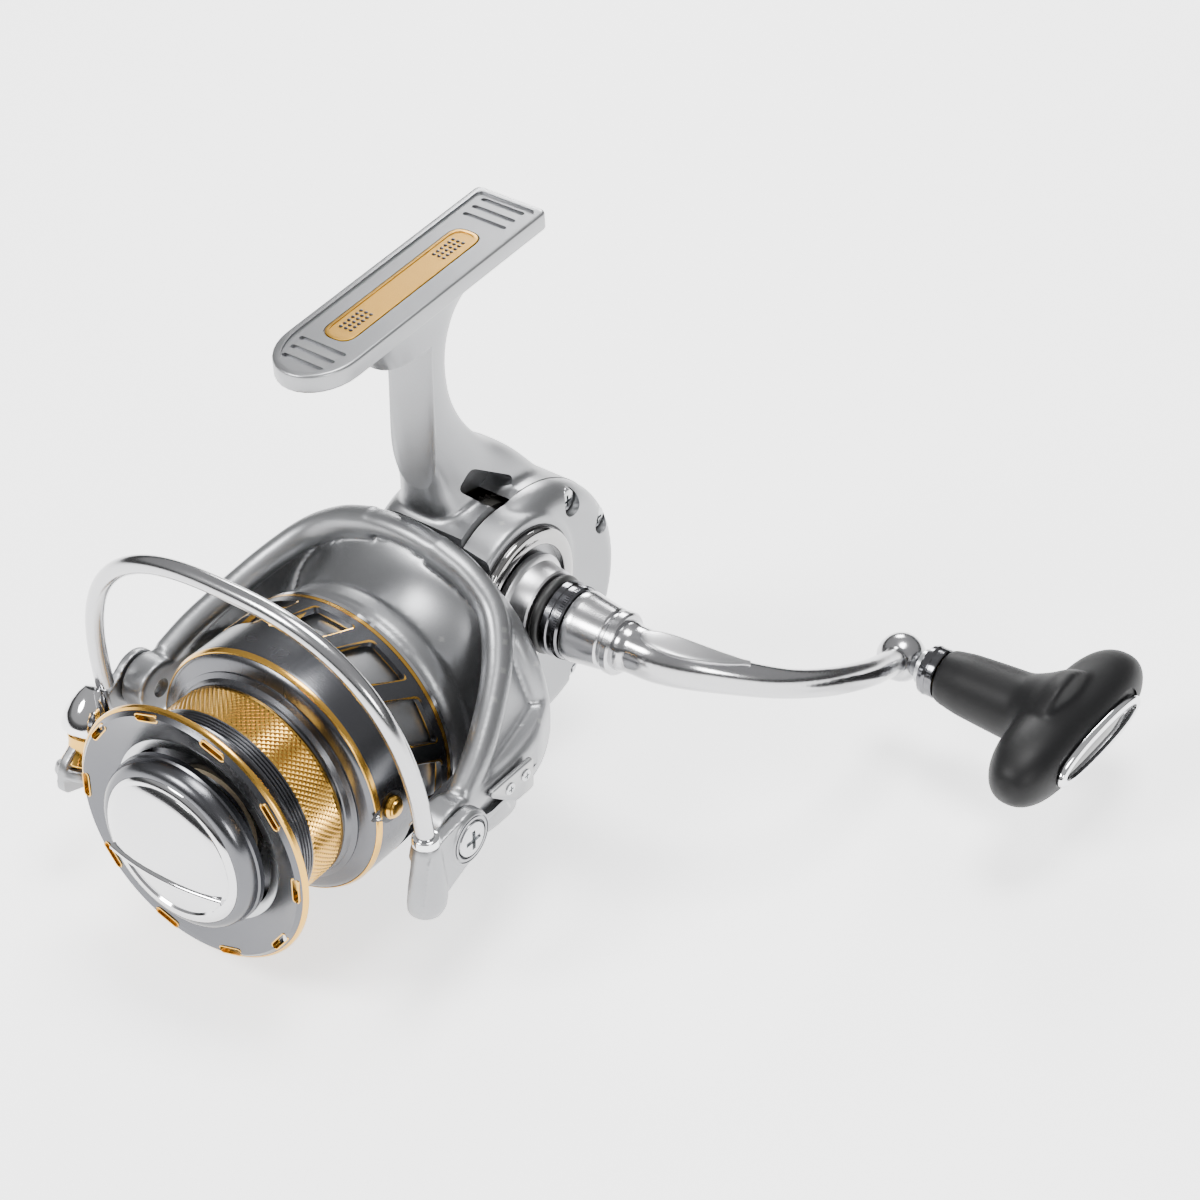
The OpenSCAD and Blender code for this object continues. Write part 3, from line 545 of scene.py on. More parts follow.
class ShadeTools:
    """Shader node groups that several finishes share."""

    def __init__(self) -> None:
        """Builds each group once."""
        self.grain = self._grain()
        self.turned = self._turned()
        self.wear = self._wear()

    @staticmethod
    def _group(name: str, inputs: Sequence[tuple[str, str, object]], outputs: Sequence[tuple[str, str]]
               ) -> tuple[bpy.types.NodeTree, bpy.types.Node, bpy.types.Node]:
        """A shader group with its input and output nodes."""
        tree = bpy.data.node_groups.new(name, "ShaderNodeTree")
        for label, kind, value in inputs:
            socket = tree.interface.new_socket(label, in_out="INPUT", socket_type=kind)
            if value is not None:
                socket.default_value = value
        for label, kind in outputs:
            tree.interface.new_socket(label, in_out="OUTPUT", socket_type=kind)
        return tree, tree.nodes.new("NodeGroupInput"), tree.nodes.new("NodeGroupOutput")

    @staticmethod
    def _range(tree: bpy.types.NodeTree, value: bpy.types.NodeSocket, low: object, high: object
               ) -> bpy.types.NodeSocket:
        """Spreads a 0 to 1 mask between two values."""
        node = tree.nodes.new("ShaderNodeMapRange")
        tree.links.new(value, node.inputs["Value"])
        node.inputs["From Min"].default_value = 0.3
        node.inputs["From Max"].default_value = 0.7
        feed(tree, node.inputs["To Min"], low)
        feed(tree, node.inputs["To Max"], high)
        return node.outputs[0]

    @staticmethod
    def _mix(tree: bpy.types.NodeTree, share: object, a: object, b: object) -> bpy.types.NodeSocket:
        """A blend of two colours."""
        node = tree.nodes.new("ShaderNodeMix")
        node.data_type = "RGBA"
        for index, value in ((0, share), (6, a), (7, b)):
            feed(tree, node.inputs[index], value)
        return node.outputs[2]

    def _noise(self, tree: bpy.types.NodeTree, vector: bpy.types.NodeSocket, scale: object, detail: float
               ) -> bpy.types.NodeSocket:
        """A noise mask."""
        node = tree.nodes.new("ShaderNodeTexNoise")
        node.inputs["Detail"].default_value = detail
        feed(tree, node.inputs["Vector"], vector)
        feed(tree, node.inputs["Scale"], scale)
        return node.outputs[0]

    def _grain(self) -> bpy.types.NodeTree:
        """Fine speckle in colour, gloss and height, with a slow drift over the piece."""
        tree, given, out = self._group(
            "fine_grain",
            [("Color", "NodeSocketColor", None), ("Tint", "NodeSocketColor", None),
             ("Scale", "NodeSocketFloat", 2000.0), ("Roughness", "NodeSocketFloat", 0.4),
             ("Spread", "NodeSocketFloat", 0.05)],
            [("Color", "NodeSocketColor"), ("Roughness", "NodeSocketFloat"), ("Height", "NodeSocketFloat")])
        place = tree.nodes.new("ShaderNodeTexCoord").outputs["Object"]
        speck = self._noise(tree, place, given.outputs["Scale"], 2.0)
        drift = self._noise(tree, place, 70.0, 3.0)
        mixed = self._mix(tree, self._range(tree, speck, 0.0, 1.0), given.outputs["Color"],
                          given.outputs["Tint"])
        rough = maths(tree, "MULTIPLY_ADD", self._range(tree, drift, -1.0, 1.0), given.outputs["Spread"],
                      given.outputs["Roughness"])
        for label, value in (("Color", mixed), ("Roughness", rough), ("Height", speck)):
            tree.links.new(value, out.inputs[label])
        return tree

    def _turned(self) -> bpy.types.NodeTree:
        """Fine rings left by a lathe, round local Z of the given vector."""
        tree, given, out = self._group(
            "lathe_marks", [("Vector", "NodeSocketVector", None), ("Scale", "NodeSocketFloat", 4000.0)],
            [("Mask", "NodeSocketFloat")])
        parts = tree.nodes.new("ShaderNodeSeparateXYZ")
        tree.links.new(given.outputs["Vector"], parts.inputs[0])
        flat = tree.nodes.new("ShaderNodeCombineXYZ")
        tree.links.new(parts.outputs[0], flat.inputs[0])
        tree.links.new(parts.outputs[1], flat.inputs[1])
        length = tree.nodes.new("ShaderNodeVectorMath")
        length.operation = "LENGTH"
        tree.links.new(flat.outputs[0], length.inputs[0])
        lines = tree.nodes.new("ShaderNodeCombineXYZ")
        tree.links.new(length.outputs["Value"], lines.inputs[0])
        tree.links.new(parts.outputs[2], lines.inputs[2])
        tree.links.new(self._noise(tree, lines.outputs[0], given.outputs["Scale"], 1.0), out.inputs["Mask"])
        return tree

    def _wear(self) -> bpy.types.NodeTree:
        """Lightens sharp outer edges, where the finish is rubbed."""
        tree, given, out = self._group(
            "edge_wear",
            [("Color", "NodeSocketColor", None), ("Worn", "NodeSocketColor", None),
             ("Amount", "NodeSocketFloat", 0.4)],
            [("Color", "NodeSocketColor")])
        edge = tree.nodes.new("ShaderNodeMapRange")
        edge.inputs["From Min"].default_value = 0.52
        edge.inputs["From Max"].default_value = 0.64
        tree.links.new(tree.nodes.new("ShaderNodeNewGeometry").outputs["Pointiness"], edge.inputs["Value"])
        share = maths(tree, "MULTIPLY", edge.outputs[0], given.outputs["Amount"])
        mixed = self._mix(tree, share, given.outputs["Color"], given.outputs["Worn"])
        tree.links.new(mixed, out.inputs["Color"])
        return tree


class Turning(Enum):
    """Axis that a piece was turned about: its centre in millimetres and the turn that lays it on Z."""

    SPOOL = ((0.0, 0.0, SPOOL_AXIS.z), (math.pi / 2, 0.0, 0.0))
    CRANK = ((0.0, CRANK_AXIS.y, CRANK_AXIS.z), (0.0, -math.pi / 2, 0.0))


WORN_METAL = (0.78, 0.77, 0.74, 1)
BUMP_DEPTH = 0.1 * MM


@dataclass(frozen=True)
class Finish:
    """A surface finish, built as a procedural material.

    Colours are linear RGB. grain is the size of the speckle in millimetres, relief its height.
    """

    name: str
    colour: Point3
    metallic: float = 1.0
    roughness: float = 0.3
    spread: float = 0.04
    tint: float = 0.9
    grain: float = 0.4
    relief: float = 0.02
    coat: float = 0.0
    coat_roughness: float = 0.1
    sheen: float = 0.0
    specular: float = 0.5
    wear: float = 0.0
    turning: Optional[Turning] = None
    marks: float = 0.06

    def build(self, tools: ShadeTools) -> bpy.types.Material:
        """Makes the material.

        Args:
            tools: shared shader groups.

        Returns:
            The material.
        """
        material = bpy.data.materials.new(self.name)
        material.use_nodes = True
        tree = material.node_tree
        shader = tree.nodes["Principled BSDF"]
        for label, value in (("Metallic", self.metallic), ("Coat Weight", self.coat),
                             ("Coat Roughness", self.coat_roughness), ("Sheen Weight", self.sheen),
                             ("Specular IOR Level", self.specular)):
            shader.inputs[label].default_value = value
        grain = tree.nodes.new("ShaderNodeGroup")
        grain.node_tree = tools.grain
        tinted = (*(c * self.tint for c in self.colour), 1)
        for label, value in (("Color", (*self.colour, 1)), ("Tint", tinted), ("Scale", 1 / (self.grain * MM)),
                             ("Roughness", self.roughness), ("Spread", self.spread)):
            grain.inputs[label].default_value = value
        colour = grain.outputs["Color"]
        if self.wear:
            wear = tree.nodes.new("ShaderNodeGroup")
            wear.node_tree = tools.wear
            wear.inputs["Worn"].default_value = WORN_METAL
            wear.inputs["Amount"].default_value = self.wear
            tree.links.new(colour, wear.inputs["Color"])
            colour = wear.outputs["Color"]
        tree.links.new(colour, shader.inputs["Base Color"])
        tree.links.new(grain.outputs["Roughness"], shader.inputs["Roughness"])
        bump = self._bump(tree, grain.outputs["Height"], self.relief)
        if self.turning:
            marks = tree.nodes.new("ShaderNodeGroup")
            marks.node_tree = tools.turned
            lay = tree.nodes.new("ShaderNodeMapping")
            centre, turn = self.turning.value
            lay.vector_type = "TEXTURE"
            lay.inputs["Location"].default_value = Vector(centre) * MM
            lay.inputs["Rotation"].default_value = [-a for a in turn]
            tree.links.new(tree.nodes.new("ShaderNodeTexCoord").outputs["Object"], lay.inputs["Vector"])
            tree.links.new(lay.outputs[0], marks.inputs["Vector"])
            second = self._bump(tree, marks.outputs["Mask"], self.marks)
            tree.links.new(bump.outputs[0], second.inputs["Normal"])
            bump = second
        tree.links.new(bump.outputs[0], shader.inputs["Normal"])
        return material

    @staticmethod
    def _bump(tree: bpy.types.NodeTree, height: bpy.types.NodeSocket, strength: float) -> bpy.types.Node:
        """A Bump node over a height."""
        bump = tree.nodes.new("ShaderNodeBump")
        bump.inputs["Strength"].default_value = strength
        bump.inputs["Distance"].default_value = BUMP_DEPTH
        tree.links.new(height, bump.inputs["Height"])
        return bump


SATIN_SILVER = Finish("satin_silver_paint", (0.29, 0.294, 0.303), 0.95, 0.37, 0.03, 0.92, 0.12, 0.05, 0.10,
                      0.25,
                      wear=0.2)
# Flat black for the gap round the handle bezel: painted shadow, not a colour of the reel.
SEAM_PAINTED_SHADOW = Finish("seam_shadow", (0.012, 0.012, 0.013), 0.0, 0.6)
FOOT_GOLD = Finish("matt_gold", (0.60, 0.33, 0.055), 1.0, 0.40, 0.05, 0.8, 0.10, 0.12)
CHROME = Finish("polished_chrome", (0.80, 0.80, 0.81), 1.0, 0.07, 0.02, 0.98, 1.0, 0.004)
CHROME_SPOOL = Finish("turned_chrome", (0.66, 0.66, 0.67), 1.0, 0.08, 0.02, 0.98, 1.0, 0.004,
                      turning=Turning.SPOOL, marks=0.02)
# Dark chrome for the wall under the drag knob's grip ledge: painted shadow.
LEDGE_SHADOW_CHROME = Finish("dark_chrome", (0.20, 0.20, 0.21), 1.0, 0.10, 0.03, 0.95, 1.0, 0.004)
STEEL = Finish("machined_steel", (0.52, 0.53, 0.54), 1.0, 0.26, 0.05, 0.92, 0.3, 0.02)
POLISHED = Finish("soft_polish", (0.50, 0.50, 0.51), 1.0, 0.17, 0.03, 0.97, 0.6, 0.008)
CONE_METAL = Finish("turned_cone", (0.50, 0.50, 0.51), 1.0, 0.20, 0.03, 0.95, 0.3, 0.01,
                    turning=Turning.CRANK, marks=0.05)
BEZEL_METAL = Finish("dark_mirror_bezel", (0.34, 0.335, 0.33), 1.0, 0.06, 0.02, 0.97, 1.0, 0.004)
COLLAR = Finish("bead_blasted_collar", (0.50, 0.50, 0.51), 1.0, 0.34, 0.03, 0.92, 0.10, 0.05,
                turning=Turning.CRANK)
DARK_METAL = Finish("dark_anodised", (0.075, 0.076, 0.08), 1.0, 0.28, 0.05, 0.8, 0.2, 0.04)
RING_METAL = Finish("dark_polished_ring", (0.16, 0.16, 0.17), 1.0, 0.14, 0.03, 0.9, 0.3, 0.01,
                    turning=Turning.CRANK)
BRASS = Finish("machined_brass", (0.60, 0.42, 0.14), 1.0, 0.25, 0.05, 0.88, 0.3, 0.02)
GEAR_ALLOY = Finish("cast_alloy", (0.36, 0.35, 0.32), 1.0, 0.42, 0.06, 0.85, 0.15, 0.08)
SOFT_BLACK = Finish("soft_touch_black", (0.006, 0.006, 0.0065), 0.0, 0.52, 0.05, 0.7, 0.08, 0.06,
                    specular=0.22)
SEAL_BLACK = Finish("seal_rubber", (0.008, 0.008, 0.008), 0.0, 0.5, 0.05, 0.7, 0.1, 0.04)
GUNMETAL = Finish("gunmetal_anodised", (0.125, 0.127, 0.136), 1.0, 0.25, 0.03, 0.9, 0.15, 0.03,
                  turning=Turning.SPOOL)
GOLD = Finish("gold_anodised", (0.72, 0.41, 0.08), 1.0, 0.20, 0.03, 0.93, 0.2, 0.02)
FELT = Finish("pressed_felt", (0.46, 0.38, 0.24), 0.0, 0.95, 0.03, 0.6, 0.12, 0.5, sheen=0.5)
GLOSS_BLACK = Finish("gloss_black", (0.010, 0.010, 0.011), 0.0, 0.10, 0.02, 0.8, 0.3, 0.004, coat=0.5)

SLOT_FINISH = {
    Slot.SILVER: SATIN_SILVER, Slot.FOOT_GOLD: FOOT_GOLD, Slot.CHROME: CHROME, Slot.STEEL: STEEL,
    Slot.DARK: DARK_METAL, Slot.BRASS: BRASS, Slot.GEAR: GEAR_ALLOY, Slot.GRIP: SOFT_BLACK,
    Slot.SEAL: SEAL_BLACK, Slot.GUNMETAL: GUNMETAL, Slot.GOLD: GOLD, Slot.FELT: FELT,
    Slot.PLASTIC: GLOSS_BLACK,
}


class Bench:
    """Materials, repeaters and the bookkeeping of finished pieces."""

    def __init__(self) -> None:
        """Prepares the shared tools."""
        self.tools = ShadeTools()
        self.repeat = Repeater()
        self._built: dict[str, bpy.types.Material] = {}

    def finish(self, finish: Finish) -> bpy.types.Material:
        """The material of a finish, made on first use."""
        if finish.name not in self._built:
            self._built[finish.name] = finish.build(self.tools)
        return self._built[finish.name]

    def fit(self, piece: bpy.types.Object, body: str, slot: Slot, finish: Finish, *nodes: str,
            crisp: float = 32) -> bpy.types.Object:
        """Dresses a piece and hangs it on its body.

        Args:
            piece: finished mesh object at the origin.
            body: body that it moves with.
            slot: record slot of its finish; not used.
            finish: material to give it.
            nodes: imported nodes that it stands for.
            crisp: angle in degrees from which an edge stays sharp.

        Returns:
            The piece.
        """
        piece.data.materials.clear()
        piece.data.materials.append(self.finish(finish))
        piece.data.shade_smooth()
        piece.data.set_sharp_from_angle(angle=math.radians(crisp))
        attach(piece, body)
        if nodes:
            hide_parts(*nodes)
        LOG.info("%-24s %-12s %6d faces", piece.name, body, len(piece.data.polygons))
        return piece

    def turned(self, name: str, profile: Sequence[Point2], place: Matrix, body: str, slot: Slot,
               finish: Finish, *nodes: str, steps: int = FACETS, crisp: float = 32) -> bpy.types.Object:
        """Turns a profile, then dresses and hangs the piece.

        Args:
            name: name of the new piece.
            profile: (radius, height) points.
            place: local to reel frame.
            body: body that it moves with.
            slot: record slot of its finish.
            finish: material to give it.
            nodes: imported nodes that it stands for.
            steps: facets round the axis.
            crisp: angle in degrees from which an edge stays sharp.

        Returns:
            The piece.
        """
        piece = Blank().lathe(profile, place, steps).made(name)
        return self.fit(piece, body, slot, finish, *nodes, crisp=crisp)

    def dress_nodes(self) -> None:
        """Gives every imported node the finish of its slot."""
        for part in frame["record"]["subparts"]:
            node = frame["nodes"][part["node"]]
            node.data.materials.clear()
            node.data.materials.append(self.finish(SLOT_FINISH[Slot(part["material_slot"])]))


# ---- foot, stem and gear case ---------------------------------------------------------------------


@dataclass
class Foot:
    """Foot plate with its gold inlay."""

    length: float = 54.5
    width: float = 13.4
    thick: float = 3.2
    rim: float = 1.15
    inlay_length: float = 33.0
    inlay_width: float = 5.3

    def outline(self, inset: float = 0.0) -> list[Point2]:
        """Square at the rear, round at the front."""
        half = self.width / 2 - inset
        end = self.length / 2 - inset
        nose = self.width * 0.62
        front = [(half * math.cos(t), -end + nose + nose * math.sin(t))
                 for t in (math.pi * k / 16 for k in range(0, -17, -1))]
        return front[::-1] + arc((half - 1, end - 1), 1, 0, 90, 3) + arc((-half + 1, end - 1), 1, 90, 180, 3)

    def plate(self, bench: Bench) -> None:
        """Foot plate, with a raised rim and three slots at each end."""
        piece = Blank().prism(self.outline(), -self.thick, 0, on_foot()).made("foot_plate")
        bevelled(piece, 0.45)
        recess = Blank().prism(self.outline(self.rim), -0.3, 1, on_foot()).made("recess_tool")
        bed = Blank().prism(softened([(-2.8, -16.7), (2.8, -16.7), (2.8, 16.7), (-2.8, 16.7)], 2.7, 8),
                            -0.9, 1, on_foot()).made("bed_tool")
        slots = Blank()
        for centre, bow in ((22.4, 0.0), (-21.2, 0.5)):
            for i in (-1, 0, 1):
                slot = [(x, y + centre + i * 2.3) for x, y in pill(self.width - 5.2 + bow * i, 0.9)]
                slots.prism(slot, -0.9, 1, on_foot())
        cut(piece, recess, bed, slots.made("slot_tool"))
        bench.fit(piece, "reel_body", Slot.SILVER, SATIN_SILVER, "housing")

    def inlay(self, bench: Bench) -> None:
        """Gold inlay with a raised border and rows of dots."""
        half, end = self.inlay_width / 2, self.inlay_length / 2
        outline = softened([(-half, -end), (half, -end), (half, end), (-half, end)], half - 0.05, 8)
        piece = Blank().prism(outline, -0.85, -0.2, on_foot()).made("foot_inlay_plate")
        bevelled(piece, 0.12)
        inner = [(x * 0.80, y * 0.965) for x, y in outline]
        cut(piece, Blank().prism(inner, -0.32, 1, on_foot()).made("inlay_tool"))
        bench.fit(piece, "reel_body", Slot.FOOT_GOLD, FOOT_GOLD, "foot_inlay")
        dot = Blank().lathe([(0, -0.36), (0.32, -0.36), (0.30, -0.26), (0, -0.2)], Matrix(), 12).made("dot")
        places = [(j * 0.95, s * (end - 3 - i * 0.95), 0.0) for s in (-1, 1) for i in range(6)
                  for j in (-1, 0, 1)]
        dots = bench.repeat.at("inlay_dots", dot, bench.finish(DARK_METAL), on_foot(), places)
        bench.fit(dots, "reel_body", Slot.DARK, DARK_METAL)


@dataclass
class GearCase:
    """Stem, case, neck, covers and screws."""

    case_r: float = 22.5
    crank_r: float = 16.6
    left: float = -8.6
    split: float = 9.0
    right: float = 14.2
    neck_r: float = 15.5
    wall: float = 1.4
    screw_ring: float = 19.6
    screw_angles: tuple[float, ...] = (62, 28, 240, 300)
    front_edge: tuple[Point2, ...] = ((-1.4, -17.0), (-3.6, -14.6), (-7, -11.2), (-12, -8.2), (-18, -6.5),
                                      (-24, -4.7), (-30, -2.2), (-37, 0.6), (-46, 2.0), (-54, 2.5))
    rear_edge: tuple[Point2, ...] = ((-1.4, 16.5), (-3.6, 13.6), (-7, 9.3), (-12, 6.7), (-17.5, 6.1),
                                     (-23.5, 7.2), (-29.5, 10.2), (-35, 14.8), (-41, 22), (-54, 33))
    breadth: tuple[Point2, ...] = ((-1.4, 11.6), (-3.6, 10.8), (-7, 9.6), (-12, 8.9), (-18, 8.8), (-24, 8.9),
                                   (-30, 9.3), (-37, 10.6), (-44, 14.0), (-54, 17.4))

    @staticmethod
    def _at(table: Sequence[Point2], z: float) -> float:
        """A smooth reading of a (z, value) table."""
        curve = smooth_path(table, 8)
        for a, b in zip(curve, curve[1:]):
            if b.x <= z <= a.x:
                return b.y + (a.y - b.y) * (z - b.x) / max(a.x - b.x, 1e-6)
        return curve[-1].y

    def stem_sections(self) -> list[list[Vector]]:
        """Rounded oblong sections from the foot down into the case."""
        sections = []
        for k in range(40):
            z = -1.5 - k * 52 / 39
            front, rear = self._at(self.front_edge, z), self._at(self.rear_edge, z)
            half, middle = (rear - front) / 2, (rear + front) / 2
            shape = superellipse(self._at(self.breadth, z) / 2, half, 3.4, 48)
            sections.append([Vector((x, middle + y, z)) for x, y in shape])
        return sections

    def rotor_room(self, gap: float) -> bpy.types.Object:
        """Tool that clears the turning rotor."""
        profile = [(60, -60), (60, gap), (25.6 - gap, gap)]
        profile += [(19.8 + 7.4 * (1 - math.cos(t)) - 1.6 - gap, -13.5 + 12 * math.sin(t))
                    for t in (math.radians(a) for a in range(84, -1, -12))]
        profile += [(18.2 - gap, -26), (15.6, -26), (15.6, -60)]
        return Blank().lathe(profile, on_spool()).made("room_tool")

    @staticmethod
    def slab(low: float, high: float) -> bpy.types.Object:
        """Tool that covers the whole case between two planes across X."""
        outline = [(-20, -25), (60, -25), (60, -100), (-20, -100)]
        return Blank().prism(outline, low, high, side_view(0)).made("face_tool")

    @staticmethod
    def spot(x: float, radius: float, angle: float) -> Vector:
        """A place round the case's centre, its angle in radians."""
        return Vector((x, CASE_CENTRE.y + radius * math.cos(angle), CASE_CENTRE.z + radius * math.sin(angle)))

    def disc(self, blank: Blank, centre: Vector, radius: float, edge: float) -> None:
        """A round of the case, its plain side rounded off."""
        corner = arc((radius - edge, self.left + edge), edge, -90, 0, 8)
        blank.lathe([(0, self.left), *corner, (radius, self.split + 2.0), (0, self.split + 2.0)],
                    along_x(centre))

    def housing(self, bench: Bench) -> None:
        """Stem and case as one cast skin, hollow for the gears, with the clutch neck."""
        blank = Blank().loft(self.stem_sections())
        self.disc(blank, CASE_CENTRE, self.case_r, 5.5)
        self.disc(blank, CRANK_AXIS, self.crank_r, 5.0)
        piece = fused(blank.made("housing_shell"), 0.5, 9)
        hollow = Blank()
        for centre, radius in ((CASE_CENTRE, self.case_r), (CRANK_AXIS, self.crank_r)):
            inner = radius - self.wall
            corner = arc((inner - 4.5, self.left + 5.9), 4.5, -90, 0, 6)
            hollow.lathe([(0, self.left + self.wall), *corner, (inner, 12), (0, 12)], along_x(centre))
        cut(piece, self.rotor_room(0.8), self.slab(self.split - 0.1, 20))
        inside = fused(hollow.made("hollow_tool"), 0.6, 2)
        cut(inside, self.rotor_room(0.8 + self.wall))
        cut(piece, inside)
        window = softened([(4.6, -38.6), (8.2, -36.4), (17.6, -42.6), (11.4, -45.4)], 1.5, 4)
        flanks = Blank().prism(window, 2.4, 20, side_view(0)).prism(window, -20, -2.4, side_view(0))
        cut(piece, flanks.made("window_tool"))
        bench.fit(piece, "reel_body", Slot.SILVER, SATIN_SILVER, "housing", crisp=50)
        neck = [(6.5, -14), (self.neck_r - 0.8, -14), (self.neck_r, -13.2), (self.neck_r, 2.2), (14.1, 2.2),
                (14.1, -12.6), (6.5, -12.6)]
        bench.turned("clutch_neck", neck, on_spool(), "reel_body", Slot.SILVER, SATIN_SILVER, "housing")

    def cover(self, bench: Bench) -> None:
        """Domed side cover with its raised boss, screw pockets and handle bore."""
        low = self.split
        dome = [(0, low - 2), (self.case_r - 0.1, low - 2), (self.case_r - 0.1, low + 0.5),
                *arc((self.case_r - 4.6, low + 0.4), 4.5, 5, 78, 8), (12, self.right - 0.5),
                (0, self.right - 0.4)]
        blank = Blank().lathe(dome, along_x(CASE_CENTRE))
        boss = [(0, low - 2), (15.4, low - 2), (14.4, self.right - 0.8),
                *arc((13.6, self.right - 0.8), 0.8, 10, 90, 4),
                (0, self.right)]
        blank.lathe(boss, along_x(CRANK_AXIS))
        piece = fused(blank.made("side_cover_shell"), 0.42, 5)
        hollow = Blank().lathe([(0, low - 2), (18.2, low - 2), (17.0, self.right - 1.9),
                                (0, self.right - 1.9)],
                               along_x(CASE_CENTRE))
        opening = Blank().lathe([(0, low - 3), (6.5, low - 3), (6.5, 20), (0, 20)], along_x(CRANK_AXIS))
        cut(piece, self.rotor_room(1.0), self.slab(low - 6, low + 0.08), hollow.made("hollow_tool"),
            opening.made("bore_tool"))
        pockets = Blank()
        for angle in self.screw_angles:
            spot = self.spot(0, self.screw_ring, math.radians(angle))
            pockets.lathe([(0, low - 3), (1.1, low - 3), (1.1, low + 2.6), (2.2, low + 2.6), (2.3, 18),
                           (0, 18)],
                          along_x(spot), 40)
        cut(piece, pockets.made("pocket_tool"))
        bench.fit(piece, "reel_body", Slot.SILVER, SATIN_SILVER, "side_cover", crisp=50)

    def bezel(self, bench: Bench) -> None:
        """Bright ring, and a black ring round it that paints the shadow in the groove."""
        x = self.right
        ring = [(9.8, x + 0.02), (12.5, x + 0.02), *arc((11.8, x + 0.6), 0.7, 0, 70, 5), (11.0, x + 1.5),
                *arc((10.3, x + 1.0), 0.5, 80, 180, 4)]
        place = along_x(CRANK_AXIS)
        bench.turned("handle_bezel", ring, place, "reel_body", Slot.CHROME, BEZEL_METAL, "cover_bezel")
        # Black ring in the gap round the bezel: painted shadow of the groove.
        seam = [(12.55, x - 0.6), (12.9, x - 0.6), (12.9, x + 0.1), (12.55, x + 0.1)]
        bench.turned("bezel_groove", seam, place, "reel_body", Slot.PLASTIC, SEAM_PAINTED_SHADOW)

    def rear_cap(self, bench: Bench) -> None:
        """Bowed crescent that closes the tail of the case."""
        sections = []
        for k in range(29):
            t = k / 28
            angle = math.radians(-42 + 72 * t)
            swell = min(1.0, 6 * min(t, 1 - t) + 0.15) ** 0.5
            shape = [(0.5 + 7.4 * swell * p, 23.1 + 0.65 * swell * q) for p, q in superellipse(1, 1, 3.2, 28)]
            sections.append([self.spot(x, r, angle) for x, r in shape])
        piece = Blank().loft(sections).made("rear_cap")
        bench.fit(piece, "reel_body", Slot.SILVER, SATIN_SILVER, "rear_cover", crisp=60)

    def screws(self, bench: Bench) -> None:
        """Cross-recessed cover screws."""
        spots = [self.spot(0, self.screw_ring, math.radians(angle)) for angle in self.screw_angles]
        places = [(-spot.z, spot.y, 0.0) for spot in spots]
        place = along_x(Vector((0, 0, 0)), self.split + 2.62)
        piece = bench.repeat.at("cover_screws", screw_blank(2.0, 0.95, 0.8, 6.4), bench.finish(DARK_METAL),
                                place, places)
        bench.fit(piece, "reel_body", Slot.DARK, STEEL, "case_screws")

    def dust_cap(self, bench: Bench) -> None:
        """Finely knurled cap on the plain side."""
        x = self.left - 3.6
        body = [(0, x + 1.2), (3.6, x + 1.2), (4.2, x + 0.2), *arc((5.6, x + 0.5), 0.5, -90, 0, 4),
                (6.2, x + 2.9), (5.6, x + 3.0), (5.6, x + 3.55), (0, x + 3.55)]
        bench.turned("dust_cap_body", body, along_x(CRANK_AXIS), "reel_body", Slot.DARK, DARK_METAL,
                     "dust_cap")
        tooth = Blank().prism([(-0.3, -0.22), (0.45, 0.0), (-0.3, 0.22)], 0.6, 2.8, Matrix()).made("tooth")
        knurl = bench.repeat.ring("dust_cap_knurl", tooth, bench.finish(DARK_METAL),
                                  along_x(CRANK_AXIS, x), 60, 6.2)
        bench.fit(knurl, "reel_body", Slot.DARK, DARK_METAL)


def screw_blank(head_r: float, head_h: float, shank_r: float, length: float) -> bpy.types.Object:
    """A cross-recessed pan-head screw along local Z, its head's seat at the origin.

    Args:
        head_r: radius of the head.
        head_h: height of the head.
        shank_r: radius of the shank.
        length: length of the shank.

    Returns:
        The screw, at the origin.
    """
    head = [(0, -length), (shank_r, -length), (shank_r, 0), (head_r, 0), (head_r, head_h * 0.35),
            (head_r * 0.93, head_h * 0.72), (head_r * 0.7, head_h * 0.95), (0, head_h)]
    piece = Blank().lathe(head, Matrix(), 36).made("screw_item")
    for a, b in ((0.62, 0.14), (0.14, 0.62)):
        wide = [(head_r * a, head_r * b), (-head_r * a, head_r * b), (-head_r * a, -head_r * b),
                (head_r * a, -head_r * b)]
        floor = [Vector((x * 0.7, y * 0.7, head_h * 0.25)) for x, y in wide]
        top = [Vector((x, y, head_h * 1.2)) for x, y in wide]
        cut(piece, Blank().loft([floor, top]).made("cross_tool"))
    return piece


# ---- rotor and bail -------------------------------------------------------------------------------


